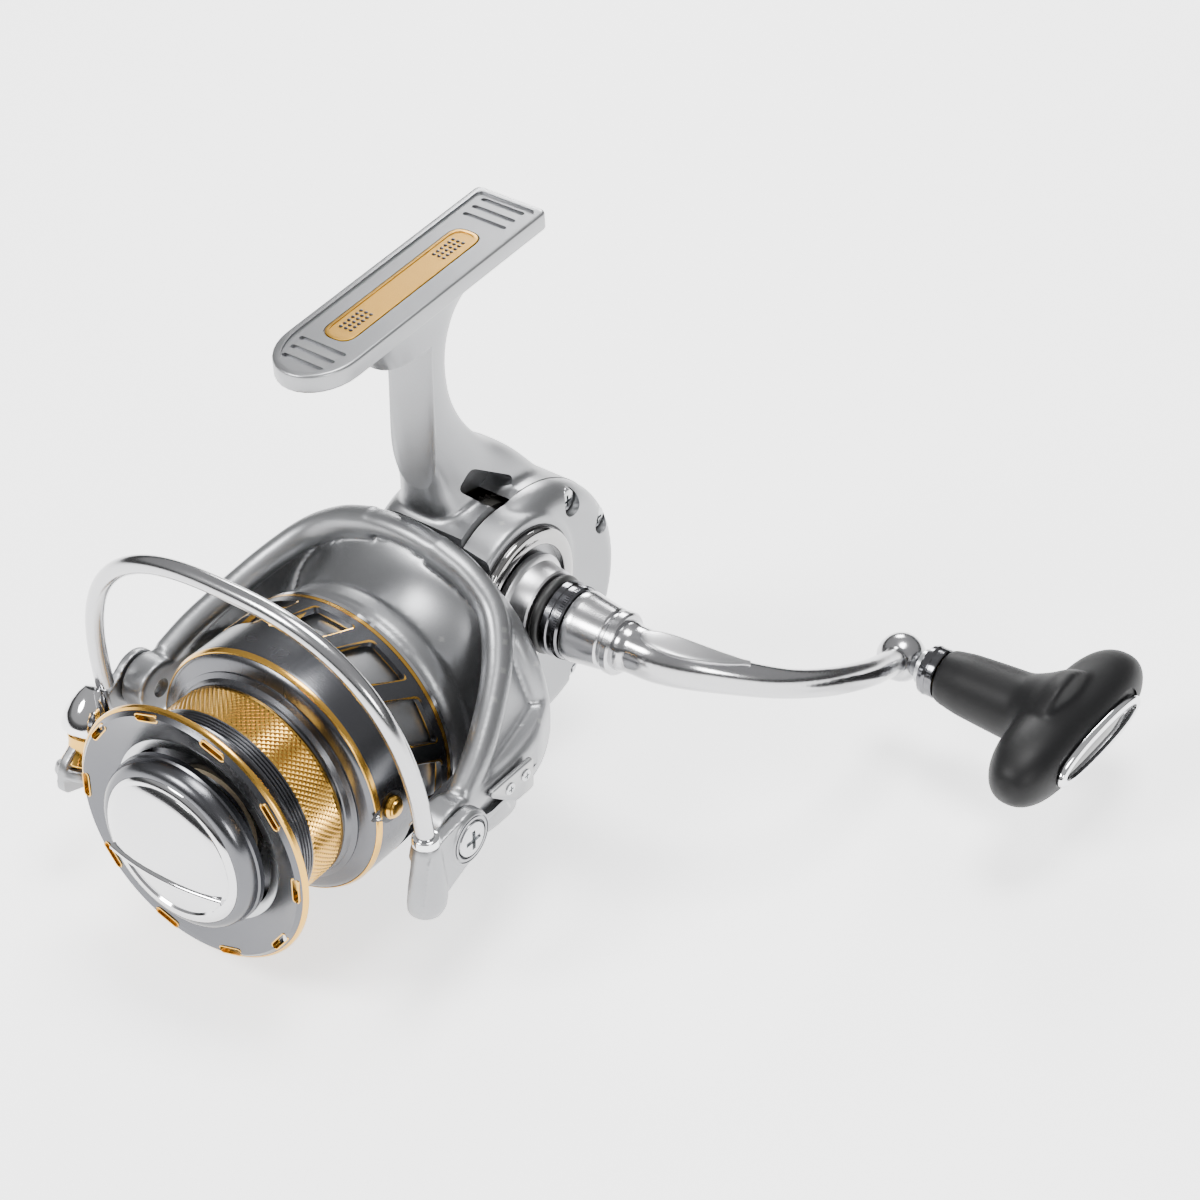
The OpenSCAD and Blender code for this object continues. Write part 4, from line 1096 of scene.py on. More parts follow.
@dataclass
class Rotor:
    """Drum, flared rim, arms, covers and arm screws."""

    drum_r: float = 19.8
    wall: float = 1.6
    flare: float = 7.4
    boss_r: float = 4.7
    arm_in: float = 27.6
    arm_out: float = 32.2

    def flare_profile(self) -> list[Point2]:
        """Drum and flare in section, with the thick rounded rim."""
        outer = [(self.drum_r + self.flare * (1 - math.cos(t)), -13.5 + 12 * math.sin(t))
                 for t in (math.radians(a) for a in range(0, 79, 6))]
        inner = [(r - self.wall, y) for r, y in reversed(outer)]
        bead = superellipse(2.35, 2.3, 2.4, 32)
        rim = [(25.3 + p, -2.5 + q) for p, q in bead[-9:] + bead[:9]]
        return [(self.drum_r - self.wall, -28), (self.drum_r - 0.4, -28), (self.drum_r, -27.6),
                (self.drum_r, -16.6), (self.drum_r + 0.5, -16.2), (self.drum_r + 0.5, -13.6),
                *outer[1:-3], *rim, (24.4, -0.25), *inner]

    def arm(self, blank: Blank, side: int) -> None:
        """One arm: post, boss and the two rails of its loop."""
        stations = ((-0.6, 24.6, 27.0, 4.6), (-5, 25.2, 29.2, 4.3), (-9, 25.9, 31.0, 4.1),
                    (-15, 27.0, 32.0, 4.0),
                    (-21, 27.3, 32.25, 4.0), (-27, 27.6, 32.4, 4.2), (-32.5, 27.6, 32.2, 4.4))
        sections = []
        for y, low, high, half in smooth_path(stations, 5):
            shape = superellipse((high - low) / 2, half, 4, 32)
            sections.append([Vector((side * ((low + high) / 2 + p), y, SPOOL_AXIS.z + q)) for p, q in shape])
        blank.loft(sections)
        for s in (-1, 1):
            route = ((6.0, -2.4, 24.6), (12.5, -2.5, 22.2), (18.4, -4.0, 18.6), (22.8, -8.6, 14.4),
                     (26.0, -14.6, 10.4),
                     (28.6, -21.4, 6.6), (29.9, -27.5, 3.2))
            path = [Vector((side * p.x, p.y, SPOOL_AXIS.z + s * p.z)) for p in smooth_path(route, 6)]
            blank.sweep(path, lambda t: superellipse(2.4 - 0.2 * t, 2.6 - 0.4 * t, 2.4, 24),
                        Vector((0, -1, 0)))
            skin = []
            for point in path[14:]:
                post = Vector((side * (25.4 + 4.6 * min(1.0, -point.y / 24)), point.y,
                               SPOOL_AXIS.z + s * 1.5))
                out = Vector((side, 0, s * 0.45)).normalized() * 0.9
                skin.append([point + out, post + out, post - out, point - out])
            blank.loft(skin)
        corners = softened([(0.0, self.arm_in), (self.boss_r, self.arm_in), (self.boss_r, self.arm_out),
                            (0.0, self.arm_out)], 0.3)
        boss = [(0.0, self.arm_in), *[p for p in corners if p[0] > 1], (0.0, self.arm_out)]
        mirror = Matrix.Scale(side, 4, Vector((1, 0, 0)))
        blank.lathe(boss, mirror @ along_x(PIVOT), 48)

    def frame_piece(self, bench: Bench) -> None:
        """Drum, rim and arms as one casting."""
        blank = Blank().lathe(self.flare_profile(), on_spool(), 128)
        for side in (-1, 1):
            self.arm(blank, side)
        piece = fused(blank.made("rotor_frame"), 0.42, 5)
        bore = Blank().lathe([(0, -40), (1.66, -40), (1.66, 40), (0, 40)], along_x(PIVOT), 40)
        spear = softened([(-29.0, 0.0), (-23.0, -1.9), (-9.0, -1.5), (-5.4, 0.0), (-9.0, 1.5), (-23.0, 1.9)],
                         0.8)
        outline = [(y, SPOOL_AXIS.z + z) for y, z in spear]
        groove = Blank().prism(outline, 31.2, 40, side_view(0)).prism(outline, -40, -31.2, side_view(0))
        inside = Blank().lathe([(12, -29), (18.2, -29), (18.2, -13.5), (18.9, -9), (12, -9)], on_spool())
        cut(piece, bore.made("bore_tool"), groove.made("spear_tool"), inside.made("inside_tool"))
        bench.fit(piece, "rotor_group", Slot.SILVER, SATIN_SILVER, "rotor", crisp=55)
        web = Blank().lathe([(3.1, -22.25), (18.3, -22.25), (18.3, -19.65), (3.1, -19.65)],
                            on_spool()).made("rotor_web")
        holes = Blank()
        for a in range(45, 360, 90):
            turn = on_spool() @ Matrix.Rotation(math.radians(a), 4, "Z") @ Matrix.Translation((11.5, 0, 0))
            holes.lathe([(0, -24), (2.6, -24), (2.6, -18), (0, -18)], turn, 40)
        cut(web, holes.made("hole_tool"))
        bench.fit(web, "rotor_group", Slot.SILVER, SATIN_SILVER)

    def covers(self, bench: Bench) -> None:
        """Bright right cover, glossy left cover, and their screws."""
        for name, side, slot, finish in (("right_arm_cover", 1, Slot.SILVER, SATIN_SILVER),
                                         ("left_arm_cover", -1, Slot.PLASTIC, GLOSS_BLACK)):
            outline = softened([(-23.9, 1.8), (-17.9, -3.0), (-13.3, -3.0), (-13.3, 3.0), (-23.9, 3.0)], 0.9,
                               5)
            placed = [(y, SPOOL_AXIS.z + z) for y, z in outline]
            low = 32.29 if side > 0 else -33.22
            plate = Blank().prism(placed, low, low + 0.93, side_view(0)).made(name + "_plate")
            bench.fit(bevelled(plate, 0.3), "rotor_group", slot, finish, name)
        for side, label in ((1, "right"), (-1, "left")):
            turn = Matrix.Rotation(0 if side > 0 else math.pi, 4, "Y")
            place = Matrix.Translation((side * 33.23, 0, 0)) @ turn @ Matrix.Rotation(math.pi / 2, 4, "Y")
            local = [tuple(place.inverted() @ Vector((side * 33.23, y, SPOOL_AXIS.z + 0.8)))
                     for y in (-19.5, -15.5)]
            piece = bench.repeat.at(f"{label}_cover_screws", screw_blank(1.05, 0.3, 0.6, 1.2),
                                    bench.finish(STEEL), place, local)
            nodes = ("arm_screws",) if side > 0 else ()
            bench.fit(piece, "rotor_group", Slot.STEEL, STEEL, *nodes)


@dataclass
class Bail:
    """Wire, levers, cone, roller and pivot screws."""

    span: float = 32.4
    base: float = 3.6
    height: float = 38.8
    power: float = 0.77
    lean: float = 0.122
    wire_y: float = -38.6
    wire_r: float = 1.5

    def wire(self, bench: Bench) -> None:
        """Arch of the wire, with a collar where it enters the holder."""
        path = []
        for i in range(73):
            t = math.pi * i / 72
            rise = self.base + (self.height - self.base) * abs(math.sin(t)) ** self.power
            x = self.span * math.copysign(abs(math.cos(t)) ** self.power, math.cos(t))
            path.append(Vector((x, self.wire_y - self.lean * rise, SPOOL_AXIS.z + rise)))
        piece = Blank().tube(path, self.wire_r, 28, Vector((0, 1, 0))).made("bail_wire_arch")
        bench.fit(piece, "bail", Slot.CHROME, POLISHED, "bail_wire", crisp=60)
        foot = Matrix.Translation((self.span, self.wire_y - 0.5, SPOOL_AXIS.z + 3.2))
        collar = softened([(1.0, 0.0), (2.25, 0.0), (2.15, 1.5), (1.0, 1.7)], 0.3)
        bench.turned("wire_collar", collar, foot, "bail", Slot.CHROME, CHROME, steps=48)

    def holder(self, bench: Bench) -> None:
        """Right lever: boss, web and the bullet that holds the wire."""
        boss = [(0, 32.56), (4.5, 32.56), (4.7, 32.8), (4.7, 34.4), (4.2, 35.1), (0, 35.15)]
        blank = Blank().lathe(boss, along_x(PIVOT), 64)
        web = [(-32.5, 4.6), (-30.5, -4.5), (-41.0, -8.6), (-43.2, -7.4), (-41.0, 2.2), (-38.0, 3.8)]
        placed = [(y, SPOOL_AXIS.z + z) for y, z in softened(web, 1.2, 5)]
        blank.prism(placed, 32.56, 34.6, side_view(0))
        stand = Matrix.Translation((32.5, self.wire_y - 0.8, SPOOL_AXIS.z)) @ Matrix.Rotation(-0.07, 4, "X")
        bullet = [(0, -10.2), (1.6, -10.0), (2.7, -9.3), (3.3, -8.0), (3.45, -6.4), (3.2, -3.6), (2.75, -0.6),
                  (2.4, 2.4), (2.15, 3.3), (0, 3.4)]
        blank.lathe(bullet, stand, 48)
        piece = fused(blank.made("wire_holder_lever"), 0.2, 5)
        bore = Blank().lathe([(0, 30), (1.64, 30), (1.64, 34.5), (3.35, 34.5), (3.35, 36), (0, 36)],
                             along_x(PIVOT), 48)
        groove = Blank().lathe([(3.75, 34.85), (4.05, 34.85), (4.05, 36), (3.75, 36)], along_x(PIVOT), 48)
        flat = Blank().prism([(-44, SPOOL_AXIS.z - 12), (-34, SPOOL_AXIS.z - 12), (-34, SPOOL_AXIS.z + 1),
                              (-44, SPOOL_AXIS.z + 1)], 26, 31.45, side_view(0))
        cut(piece, bore.made("bore_tool"), groove.made("groove_tool"), flat.made("flat_tool"))
        bench.fit(piece, "bail", Slot.SILVER, SATIN_SILVER, "wire_holder", crisp=55)

    def lever(self, bench: Bench) -> None:
        """Left lever, from its pivot down to the roller's seat."""
        boss = [(0, -34.1), (4.4, -34.1), (4.7, -33.8), (4.7, -32.56), (0, -32.56)]
        blank = Blank().lathe(boss, along_x(PIVOT), 64)
        y0, z0 = ROLLER_AXIS.y, ROLLER_AXIS.z
        web = [(-32.5, SPOOL_AXIS.z + 4.6), (-28.5, SPOOL_AXIS.z - 3.8), (y0 + 1, z0 - 6.4),
               (y0 - 5, z0 - 4.4),
               (y0 - 4, z0 + 0.6)]
        blank.prism(softened(web, 1.8, 5), -34.15, -32.56, side_view(0))
        seat = [(0, -3.4), (3.1, -3.4), (3.4, -3.0), (3.4, -1.7), (3.1, -1.5), (0, -1.5)]
        blank.lathe(seat, on_roller(), 48)
        piece = fused(blank.made("roller_lever"), 0.22, 4)
        bore = Blank().lathe([(0, -36), (1.64, -36), (1.64, -30), (0, -30)], along_x(PIVOT),
                             40).made("bore_tool")
        cut(piece, bore)
        bench.fit(piece, "bail", Slot.SILVER, SATIN_SILVER, "roller_arm", crisp=55)

    def roller(self, bench: Bench) -> None:
        """Grooved line roller, its axle and the bright cone."""
        groove = [(1.26, -1.08), (2.65, -1.08), (2.72, -0.8), (2.35, 0.1), (2.1, 1.3), (2.35, 2.5),
                  (2.72, 3.4),
                  (2.65, 3.68), (1.26, 3.68)]
        bench.turned("line_roller_wheel", groove, on_roller(), "roller", Slot.GOLD, GOLD, "line_roller",
                     steps=64)
        cone = [(0, -1.48), (1.2, -1.48), (1.2, 4.1), (3.4, 4.1), (3.9, 4.5), (4.15, 5.6), (3.95, 7.4),
                (3.35, 9.2),
                (2.5, 10.8), (1.7, 11.8), (0, 12.0)]
        bench.turned("roller_cone", cone, on_roller(), "bail", Slot.CHROME, CHROME, "roller_axle",
                     steps=64, crisp=40)

    def pivots(self, bench: Bench) -> None:
        """Pivot screws."""
        for side, seat, length in ((1, 34.52, 5.7), (-1, 34.17, 5.6)):
            item = screw_blank(3.1, 1.0, 1.6, length)
            spin = Matrix.Rotation(math.pi / 2 * side, 4, "Y")
            shift = Matrix.Translation((side * seat, BAIL_AXIS.y, SPOOL_AXIS.z))
            nodes = ("pivot_screws",) if side > 0 else ()
            label = "right_pivot_screw" if side > 0 else "left_pivot_screw"
            piece = bench.repeat.at(label, item, bench.finish(STEEL), shift @ spin, [(0.0, 0.0, 0.0)])
            bench.fit(piece, "bail", Slot.STEEL, STEEL, *nodes)


# ---- spool and drag -------------------------------------------------------------------------------


@dataclass
class Spool:
    """Spool with its gold trim, arbor band, skirt windows, lip slots and line clip."""

    lip_r: float = 22.5
    lip_y: float = -56.2
    arbor_r: float = 17.4
    skirt_r: float = 21.7
    skirt_t: float = 1.1
    skirt_front: float = -36.9
    skirt_rear: float = -18.8
    window_count: int = 12
    slot_count: int = 10
    clip_angle: float = -4.0

    def window(self, grow: float) -> list[Point2]:
        """Slanted window, as (round the skirt, along the axis)."""
        half, lean, tall = 3.9 + grow, 1.7, 7.0
        corners = [(-half - lean, -grow), (half - lean, -grow), (half + lean, tall + grow),
                   (-half + lean, tall + grow)]
        return softened(corners, 0.7 + grow * 0.5, 4)

    def skirt_patch(self, blank: Blank, outline: Sequence[Point2], low: float, high: float) -> None:
        """An outline wrapped on the skirt between two radii, about local Z, middle along +X."""
        blank.loft([[Vector((r * math.cos(u / self.skirt_r), r * math.sin(u / self.skirt_r), v))
                     for u, v in outline] for r in (low, high)])

    def body(self, bench: Bench) -> None:
        """Lip, arbor and skirt, turned from one billet, with its windows and slots cut."""
        lip, y, arbor = self.lip_r, self.lip_y, self.arbor_r
        skirt, inner = self.skirt_r, self.skirt_r - self.skirt_t
        profile = [(4.1, -50.4), (16, -50.4), (16, y + 2.1), (16.5, y + 1.9), (18.3, y + 1.25),
                   (20.4, y + 0.3), (lip - 1.2, y),
                   (lip - 0.9, y + 0.3), (lip - 0.25, y + 0.9), (lip - 0.1, y + 1.5), (lip - 0.7, y + 1.9),
                   (20.2, y + 3.0), (18.4, y + 4.3), (arbor + 0.25, y + 5.2), (arbor, -50.2)]
        for k in range(4):
            at = -50.1 + k * 0.6
            profile += [(arbor, at), (arbor - 0.22, at + 0.12), (arbor - 0.22, at + 0.3), (arbor, at + 0.42)]
        profile += [(arbor, -47.6), (arbor - 0.8, -47.6), (arbor - 0.8, -40.6), (arbor, -40.6),
                    (arbor, -40.3),
                    (arbor - 0.2, -40.2), (arbor - 0.2, -40.0), (arbor + 0.1, -39.8), (arbor + 0.4, -39.0),
                    (18.6, -38.6), (18.6, -38.3), (skirt - 1.4, self.skirt_front - 1.0),
                    (skirt - 0.7, self.skirt_front - 0.6),
                    (skirt - 0.1, self.skirt_front + 0.3), (skirt, self.skirt_front + 1.0), (skirt, -20.4),
                    (skirt - 0.2, -20.2), (skirt - 0.2, self.skirt_rear), (inner, self.skirt_rear),
                    (inner, self.skirt_front + 2.4), (arbor - 2.6, self.skirt_front + 0.8),
                    (arbor - 2.6, -43),
                    (9.6, -43), (9.6, -47.4), (4.1, -47.4)]
        piece = Blank().lathe(profile, on_spool(), SPOOL_FACETS).made("spool_body")
        holes = Blank()
        self.skirt_patch(holes, self.window(0), inner - 2, skirt + 2)
        windows = bench.repeat.ring("window_tool", holes.made("window_item"), bench.finish(GUNMETAL),
                                    on_spool(self.skirt_rear - 10), self.window_count, 0.0)
        slot = Blank().prism([(q, p) for p, q in pill(4.6, 1.1)], -2, 8, Matrix()).made("slot_item")
        slots = bench.repeat.ring("slot_tool", slot, bench.finish(GUNMETAL), on_spool(y), self.slot_count,
                                  21.0)
        cut(piece, windows, slots)
        bench.fit(piece, "spool_group", Slot.GUNMETAL, GUNMETAL, "spool", crisp=28)

    def trim(self, bench: Bench) -> None:
        """Gold rings, window frames and slot rims."""
        lip, y, skirt = self.lip_r, self.lip_y, self.skirt_r
        rings = Blank()
        rings.lathe([(lip - 0.5, y + 0.62), (lip - 0.12, y + 0.85), (lip + 0.02, y + 1.15), (lip, y + 1.5),
                     (lip - 0.4, y + 1.85), (lip - 0.9, y + 1.3)], on_spool(), SPOOL_FACETS)
        front = self.skirt_front
        rings.lathe([(skirt - 0.45, front - 0.42), (skirt - 0.3, front - 0.34), (skirt + 0.02, front + 0.25),
                     (skirt + 0.02, front + 0.5), (skirt - 0.3, front + 0.5), (skirt - 0.6, front)],
                     on_spool(), SPOOL_FACETS)
        rings.lathe([(skirt - 0.3, -20.3), (skirt + 0.02, -20.3), (skirt + 0.02, -19.7),
                     (skirt - 0.3, -19.7)],
                    on_spool(), SPOOL_FACETS)
        bench.fit(rings.made("gold_rings"), "spool_group", Slot.GOLD, GOLD)
        edge = [(skirt - 0.3, -19.6), (skirt, -19.6), (skirt, -19.0), (skirt - 0.15, -18.82),
                (skirt - 0.9, -18.82), (skirt - 0.9, -19.2)]
        bench.turned("skirt_rear_edge", edge, on_spool(), "spool_group", Slot.CHROME, CHROME_SPOOL,
                     steps=SPOOL_FACETS)
        band = Blank()
        self.skirt_patch(band, self.window(0.32), skirt - 1.05, skirt + 0.05)
        item = band.made("frame_item")
        hole = Blank()
        self.skirt_patch(hole, self.window(0.02), skirt - 2, skirt + 2)
        cut(item, hole.made("frame_tool"))
        frames = bench.repeat.ring("window_frames", item, bench.finish(GOLD), on_spool(self.skirt_rear - 10),
                                   self.window_count, 0.0)
        bench.fit(frames, "spool_group", Slot.GOLD, GOLD)
        rim = Blank().prism([(q, p) for p, q in pill(4.9, 1.4)], 0.1, 1.6, Matrix()).made("rim_item")
        cut(rim, Blank().prism([(q, p) for p, q in pill(4.5, 1.0)], -1, 3, Matrix()).made("rim_tool"))
        rims = bench.repeat.ring("slot_rims", rim, bench.finish(GOLD), on_spool(y), self.slot_count, 21.0)
        bench.fit(rims, "spool_group", Slot.GOLD, GOLD)

    def band(self, bench: Bench) -> None:
        """Diamond-knurled band let into the arbor."""
        r = self.arbor_r
        sleeve = [(r - 0.78, -47.55), (r - 0.22, -47.55), (r - 0.22, -40.65), (r - 0.78, -40.65)]
        bench.turned("arbor_sleeve", sleeve, on_spool(), "spool_group", Slot.GOLD, GOLD, "arbor_band",
                     steps=SPOOL_FACETS)
        facet = Blank()
        facet.verts = [Vector(p) for p in ((0.2, 0, 0), (-0.04, 0.48, 0), (-0.04, 0, 0.52), (-0.04, -0.48, 0),
                                           (-0.04, 0, -0.52))]
        facet.faces = [(0, 1, 2), (0, 2, 3), (0, 3, 4), (0, 4, 1), (4, 3, 2, 1)]
        knurl = bench.repeat.ring("arbor_knurl", facet.made("facet_item"), bench.finish(GOLD),
                                  on_spool(-47.0), 112,
                                  r - 0.2, rows=12, pitch=0.52, stagger=0.5)
        bench.fit(knurl, "spool_group", Slot.GOLD, GOLD)

    def clip(self, bench: Bench) -> None:
        """Gold line-clip button with a steel ball, in its dark drop-shaped pocket."""
        place = on_spool(-34) @ Matrix.Rotation(math.radians(self.clip_angle), 4, "Z")
        outward = place @ Matrix.Translation((self.skirt_r + 0.08, 0, 0)) @ Matrix.Rotation(math.pi / 2, 4,
                                                                                            "Y")
        button = [(0, 0), (1.9, 0), (1.9, 0.4), (1.6, 0.8), (1.35, 0.85), (1.25, 1.15), (0.7, 1.3), (0, 1.32)]
        bench.turned("line_clip_button", button, outward, "clip", Slot.GOLD, GOLD, "line_clip", steps=48)
        drop = [*arc((0, 0), 2.7, -60, 240, 16), (0.0, -4.6)]
        sections = [[place @ Vector((r * math.cos(u / r), r * math.sin(u / r), v)) for u,
                     v in softened(drop, 0.3)]
                    for r in (self.skirt_r - 0.4, self.skirt_r + 0.03)]
        pocket = Blank().loft(sections).made("clip_pocket")
        bench.fit(pocket, "spool_group", Slot.DARK, DARK_METAL)
        ball_place = place @ Vector((self.skirt_r, 0, -3.3))
        ball = Blank().ball(ball_place, 0.45, steps=24).made("clip_ball")
        bench.fit(ball, "spool_group", Slot.STEEL, CHROME)


@dataclass
class DragKnob:
    """Front drag knob: bright face and grip bar in a dark ring."""

    face_y: float = -60.6
    bar_half: float = 12.4

    def build(self, bench: Bench) -> None:
        """Ring, disc and grip bar."""
        y = self.face_y
        ring = [(12.6, y + 5), (14.4, y + 5), (15, y + 4.5), (15, y + 3.6), (14.75, y + 3.3), (14.6, y + 1.9),
                (14.2, y + 1.2), (13.5, y + 0.7), (13.0, y + 0.6), (12.6, y + 0.9)]
        bench.turned("drag_knob_ring", ring, on_spool(), "drag", Slot.GUNMETAL, GUNMETAL, "drag_knob",
                     steps=SPOOL_FACETS)
        disc = [(2.3, y + 5), (12.8, y + 5), (12.9, y + 0.6), (12.6, y + 0.25), (12.0, y - 0.05),
                (11.2, y - 0.1),
                (10.9, y + 0.25), (7.5, y - 0.15), (4.5, y - 0.35), (2.3, y - 0.45)]
        bench.turned("drag_knob_face", disc, on_spool(), "drag", Slot.CHROME, CHROME_SPOOL,
                     steps=SPOOL_FACETS)
        self.grip(bench, on_spool(y))

    def grip(self, bench: Bench, place: Matrix) -> None:
        """Half-moon dome over the upper face, ending below in a straight rolled grip ledge, with a dark chrome
        wall under it as painted shadow.
        """
        ledge, reach = 3.2, self.bar_half - 0.5
        start = math.asin(ledge / reach)
        plan = [(reach * math.cos(t), reach * math.sin(t))
                for t in (start - (math.pi + 2 * start) * k / 40 for k in range(41))]
        sections = [[place @ Vector((p * k, ledge + (q - ledge) * k, z)) for p, q in plan]
                    for z, k in ((0.6, 1.0), (-0.2, 1.0), (-0.8, 0.94), (-1.3, 0.82), (-1.7, 0.66),
                                 (-2.0, 0.48),
                                 (-2.2, 0.28), (-2.27, 0.1))]
        dome = Blank().loft(sections).made("drag_knob_dome")
        bench.fit(dome, "drag", Slot.CHROME, CHROME_SPOOL, crisp=50)
        path = []
        for k in range(21):
            p = (k / 10 - 1) * (reach - 1.0)
            path.append(place @ Vector((p, ledge + 0.35, -0.35 - 1.55 * (1 - (p / reach) ** 2))))
        roll = Blank().sweep(path, lambda t: superellipse(0.9, 0.62, 2.2, 20), Vector((0, -1, 0)))
        bench.fit(roll.made("drag_knob_ledge"), "drag", Slot.CHROME, CHROME_SPOOL, crisp=50)
        # Dark chrome wall under the ledge: painted shadow beneath the rolled lip.
        wall = softened([(-reach + 3.0, ledge - 1.0), (reach - 3.0, ledge - 1.0), (reach - 4.5, ledge + 0.9),
                         (-reach + 4.5, ledge + 0.9)], 0.4, 3)
        shade = Blank().prism(wall, -0.5, 0.4, place).made("drag_knob_undercut")
        bench.fit(shade, "drag", Slot.DARK, LEDGE_SHADOW_CHROME, crisp=40)


# ---- handle ---------------------------------------------------------------------------------------


@dataclass
class Handle:
    """Collar, seal, lock ring, cone and the bowed arm."""

    knob_x: float = 57.9
    hub_x: float = 35.0
    reach: tuple[float, ...] = (0.0, 0.6, 4.4, 12.6, 22.5, 34.5, 44.0, 50.6)
    out: tuple[float, ...] = (0.0, 6.5, 13.1, 20.6, 24.0, 24.9, 24.0)

    def route(self) -> list[Vector]:
        """Centre line of the arm, from the hub to the ball."""
        way = KNOB_AXIS - CRANK_AXIS
        angle = math.atan2(-way.z, way.y)
        xs = [self.hub_x + x for x in self.out] + [self.knob_x]
        points = [Vector((x, CRANK_AXIS.y + r * math.cos(angle), CRANK_AXIS.z - r * math.sin(angle)))
                  for x, r in zip(xs, self.reach)]
        return smooth_path(points, 10)

    @staticmethod
    def section(t: float) -> list[Point2]:
        """Round at the hub, a flat oval in the middle, slim at the ball."""
        slim = min(1.0, max(0.0, (t - 0.10) / 0.42))
        slim = slim * slim * (3 - 2 * slim)
        wide = 3.9 - 1.35 * slim - 0.25 * t
        thin = 3.75 - 1.75 * slim - 0.1 * t
        return superellipse(wide, thin, 2.2, 40)

    def stack(self, bench: Bench) -> None:
        """Collar, seal, lock ring and cone."""
        collar = [(3.5, 14.8), (8.0, 14.8), (8.4, 15.1), (8.4, 16.0), (8.1, 16.3), (7.5, 16.5), (7.3, 16.9),
                  (6.95, 19.6), (6.7, 19.9), (3.5, 19.9)]
        place = along_x(CRANK_AXIS)
        bench.turned("handle_collar_turned", collar, place, "crank", Slot.CHROME, COLLAR, "handle_collar")
        seal = [(2, 20), *arc((5.75, 20.95), 0.92, -85, 85, 10), (2, 21.9)]
        bench.turned("handle_o_ring", seal, place, "crank", Slot.SEAL, SEAL_BLACK, "handle_seal", crisp=60)
        ring = [(2, 22), (6.0, 22), (6.3, 22.3), (6.3, 23.3), (6.05, 23.5), (6.05, 25.0), (5.8, 25.35),
                (2, 25.4)]
        bench.turned("handle_lock_ring", ring, place, "crank", Slot.DARK, RING_METAL, "lock_ring")
        tooth = Blank().prism([(-0.2, -0.12), (0.14, 0.0), (-0.2, 0.12)], 24.3, 25.0,
                              Matrix()).made("tooth_item")
        knurl = bench.repeat.ring("lock_ring_knurl", tooth, bench.finish(RING_METAL), place, 90, 6.05)
        bench.fit(knurl, "crank", Slot.DARK, RING_METAL)
        x = 25.5
        cone = [(0, 18.9), (1.96, 18.9), (1.96, x), (5.5, x), (5.85, x + 0.25), (6, x + 0.8), (5.85, x + 1.6),
                (5.55, x + 3.5), (5.2, x + 6.4), (4.95, x + 6.7), (4.75, x + 6.8), (4.75, x + 7.25),
                (5.05, x + 7.4), (5.3, x + 7.7), (5.3, x + 8.7), (5.0, x + 9.05), (4.5, x + 9.1),
                (0, x + 9.1)]
        bench.turned("handle_cone_turned", cone, place, "crank", Slot.CHROME, CONE_METAL, "handle_cone")

    def arm(self, bench: Bench) -> None:
        """Bowed arm, its ball end and the satin oval pad."""
        path = self.route()
        start = [Vector((self.hub_x - 1.6, CRANK_AXIS.y, CRANK_AXIS.z))]
        blank = Blank().sweep(start + path, self.section, Vector((0, 0, 1)))
        blank.ball(KNOB_AXIS, 4.2)
        blank.lathe([(0, -2.6), (3.7, -2.6), (4.3, -1.8), (4.2, 0.4), (3.6, 1.4), (0, 1.6)],
                    along_x(CRANK_AXIS, self.hub_x + 0.2), 64)
        piece = fused(blank.made("handle_arm_forged"), 0.34, 5)
        bench.fit(piece, "crank", Slot.CHROME, POLISHED, "handle_arm", crisp=70)
        self.pad(bench)

    def pad(self, bench: Bench) -> None:
        """Satin oval flat let into the upper side of the arm, near the hub."""
        path = self.route()[4:26]
        sections = []
        for k, centre in enumerate(path):
            t = k / (len(path) - 1)
            half = 2.5 * math.sin(math.pi * min(0.97, max(0.03, t ** 0.75))) ** 0.6
            along = (path[min(k + 1, len(path) - 1)] - path[max(k - 1, 0)]).normalized()
            side = along.cross(Vector((0, 0, 1))).normalized()
            out = side.cross(along)
            lift = 3.62 - 1.15 * min(1.0, max(0.0, (k + 4) / 75 - 0.1) / 0.42)
            sections.append([centre + side * p * half + out * (lift + q) for p,
                             q in superellipse(1, 0.42, 2.4, 20)])
        piece = Blank().loft(sections).made("arm_pad")
        bench.fit(piece, "crank", Slot.CHROME, COLLAR, crisp=60)

    def axle(self, bench: Bench) -> None:
        """Washer between the ball and the knob's ferrule."""
        x = self.knob_x
        washer = [(2.0, x + 4.2), (3.0, x + 4.2), (3.05, x + 4.9), (2.6, x + 5.1), (2.0, x + 5.1)]
        bench.turned("knob_washer", washer, along_x(KNOB_AXIS), "crank", Slot.STEEL, STEEL, steps=64)


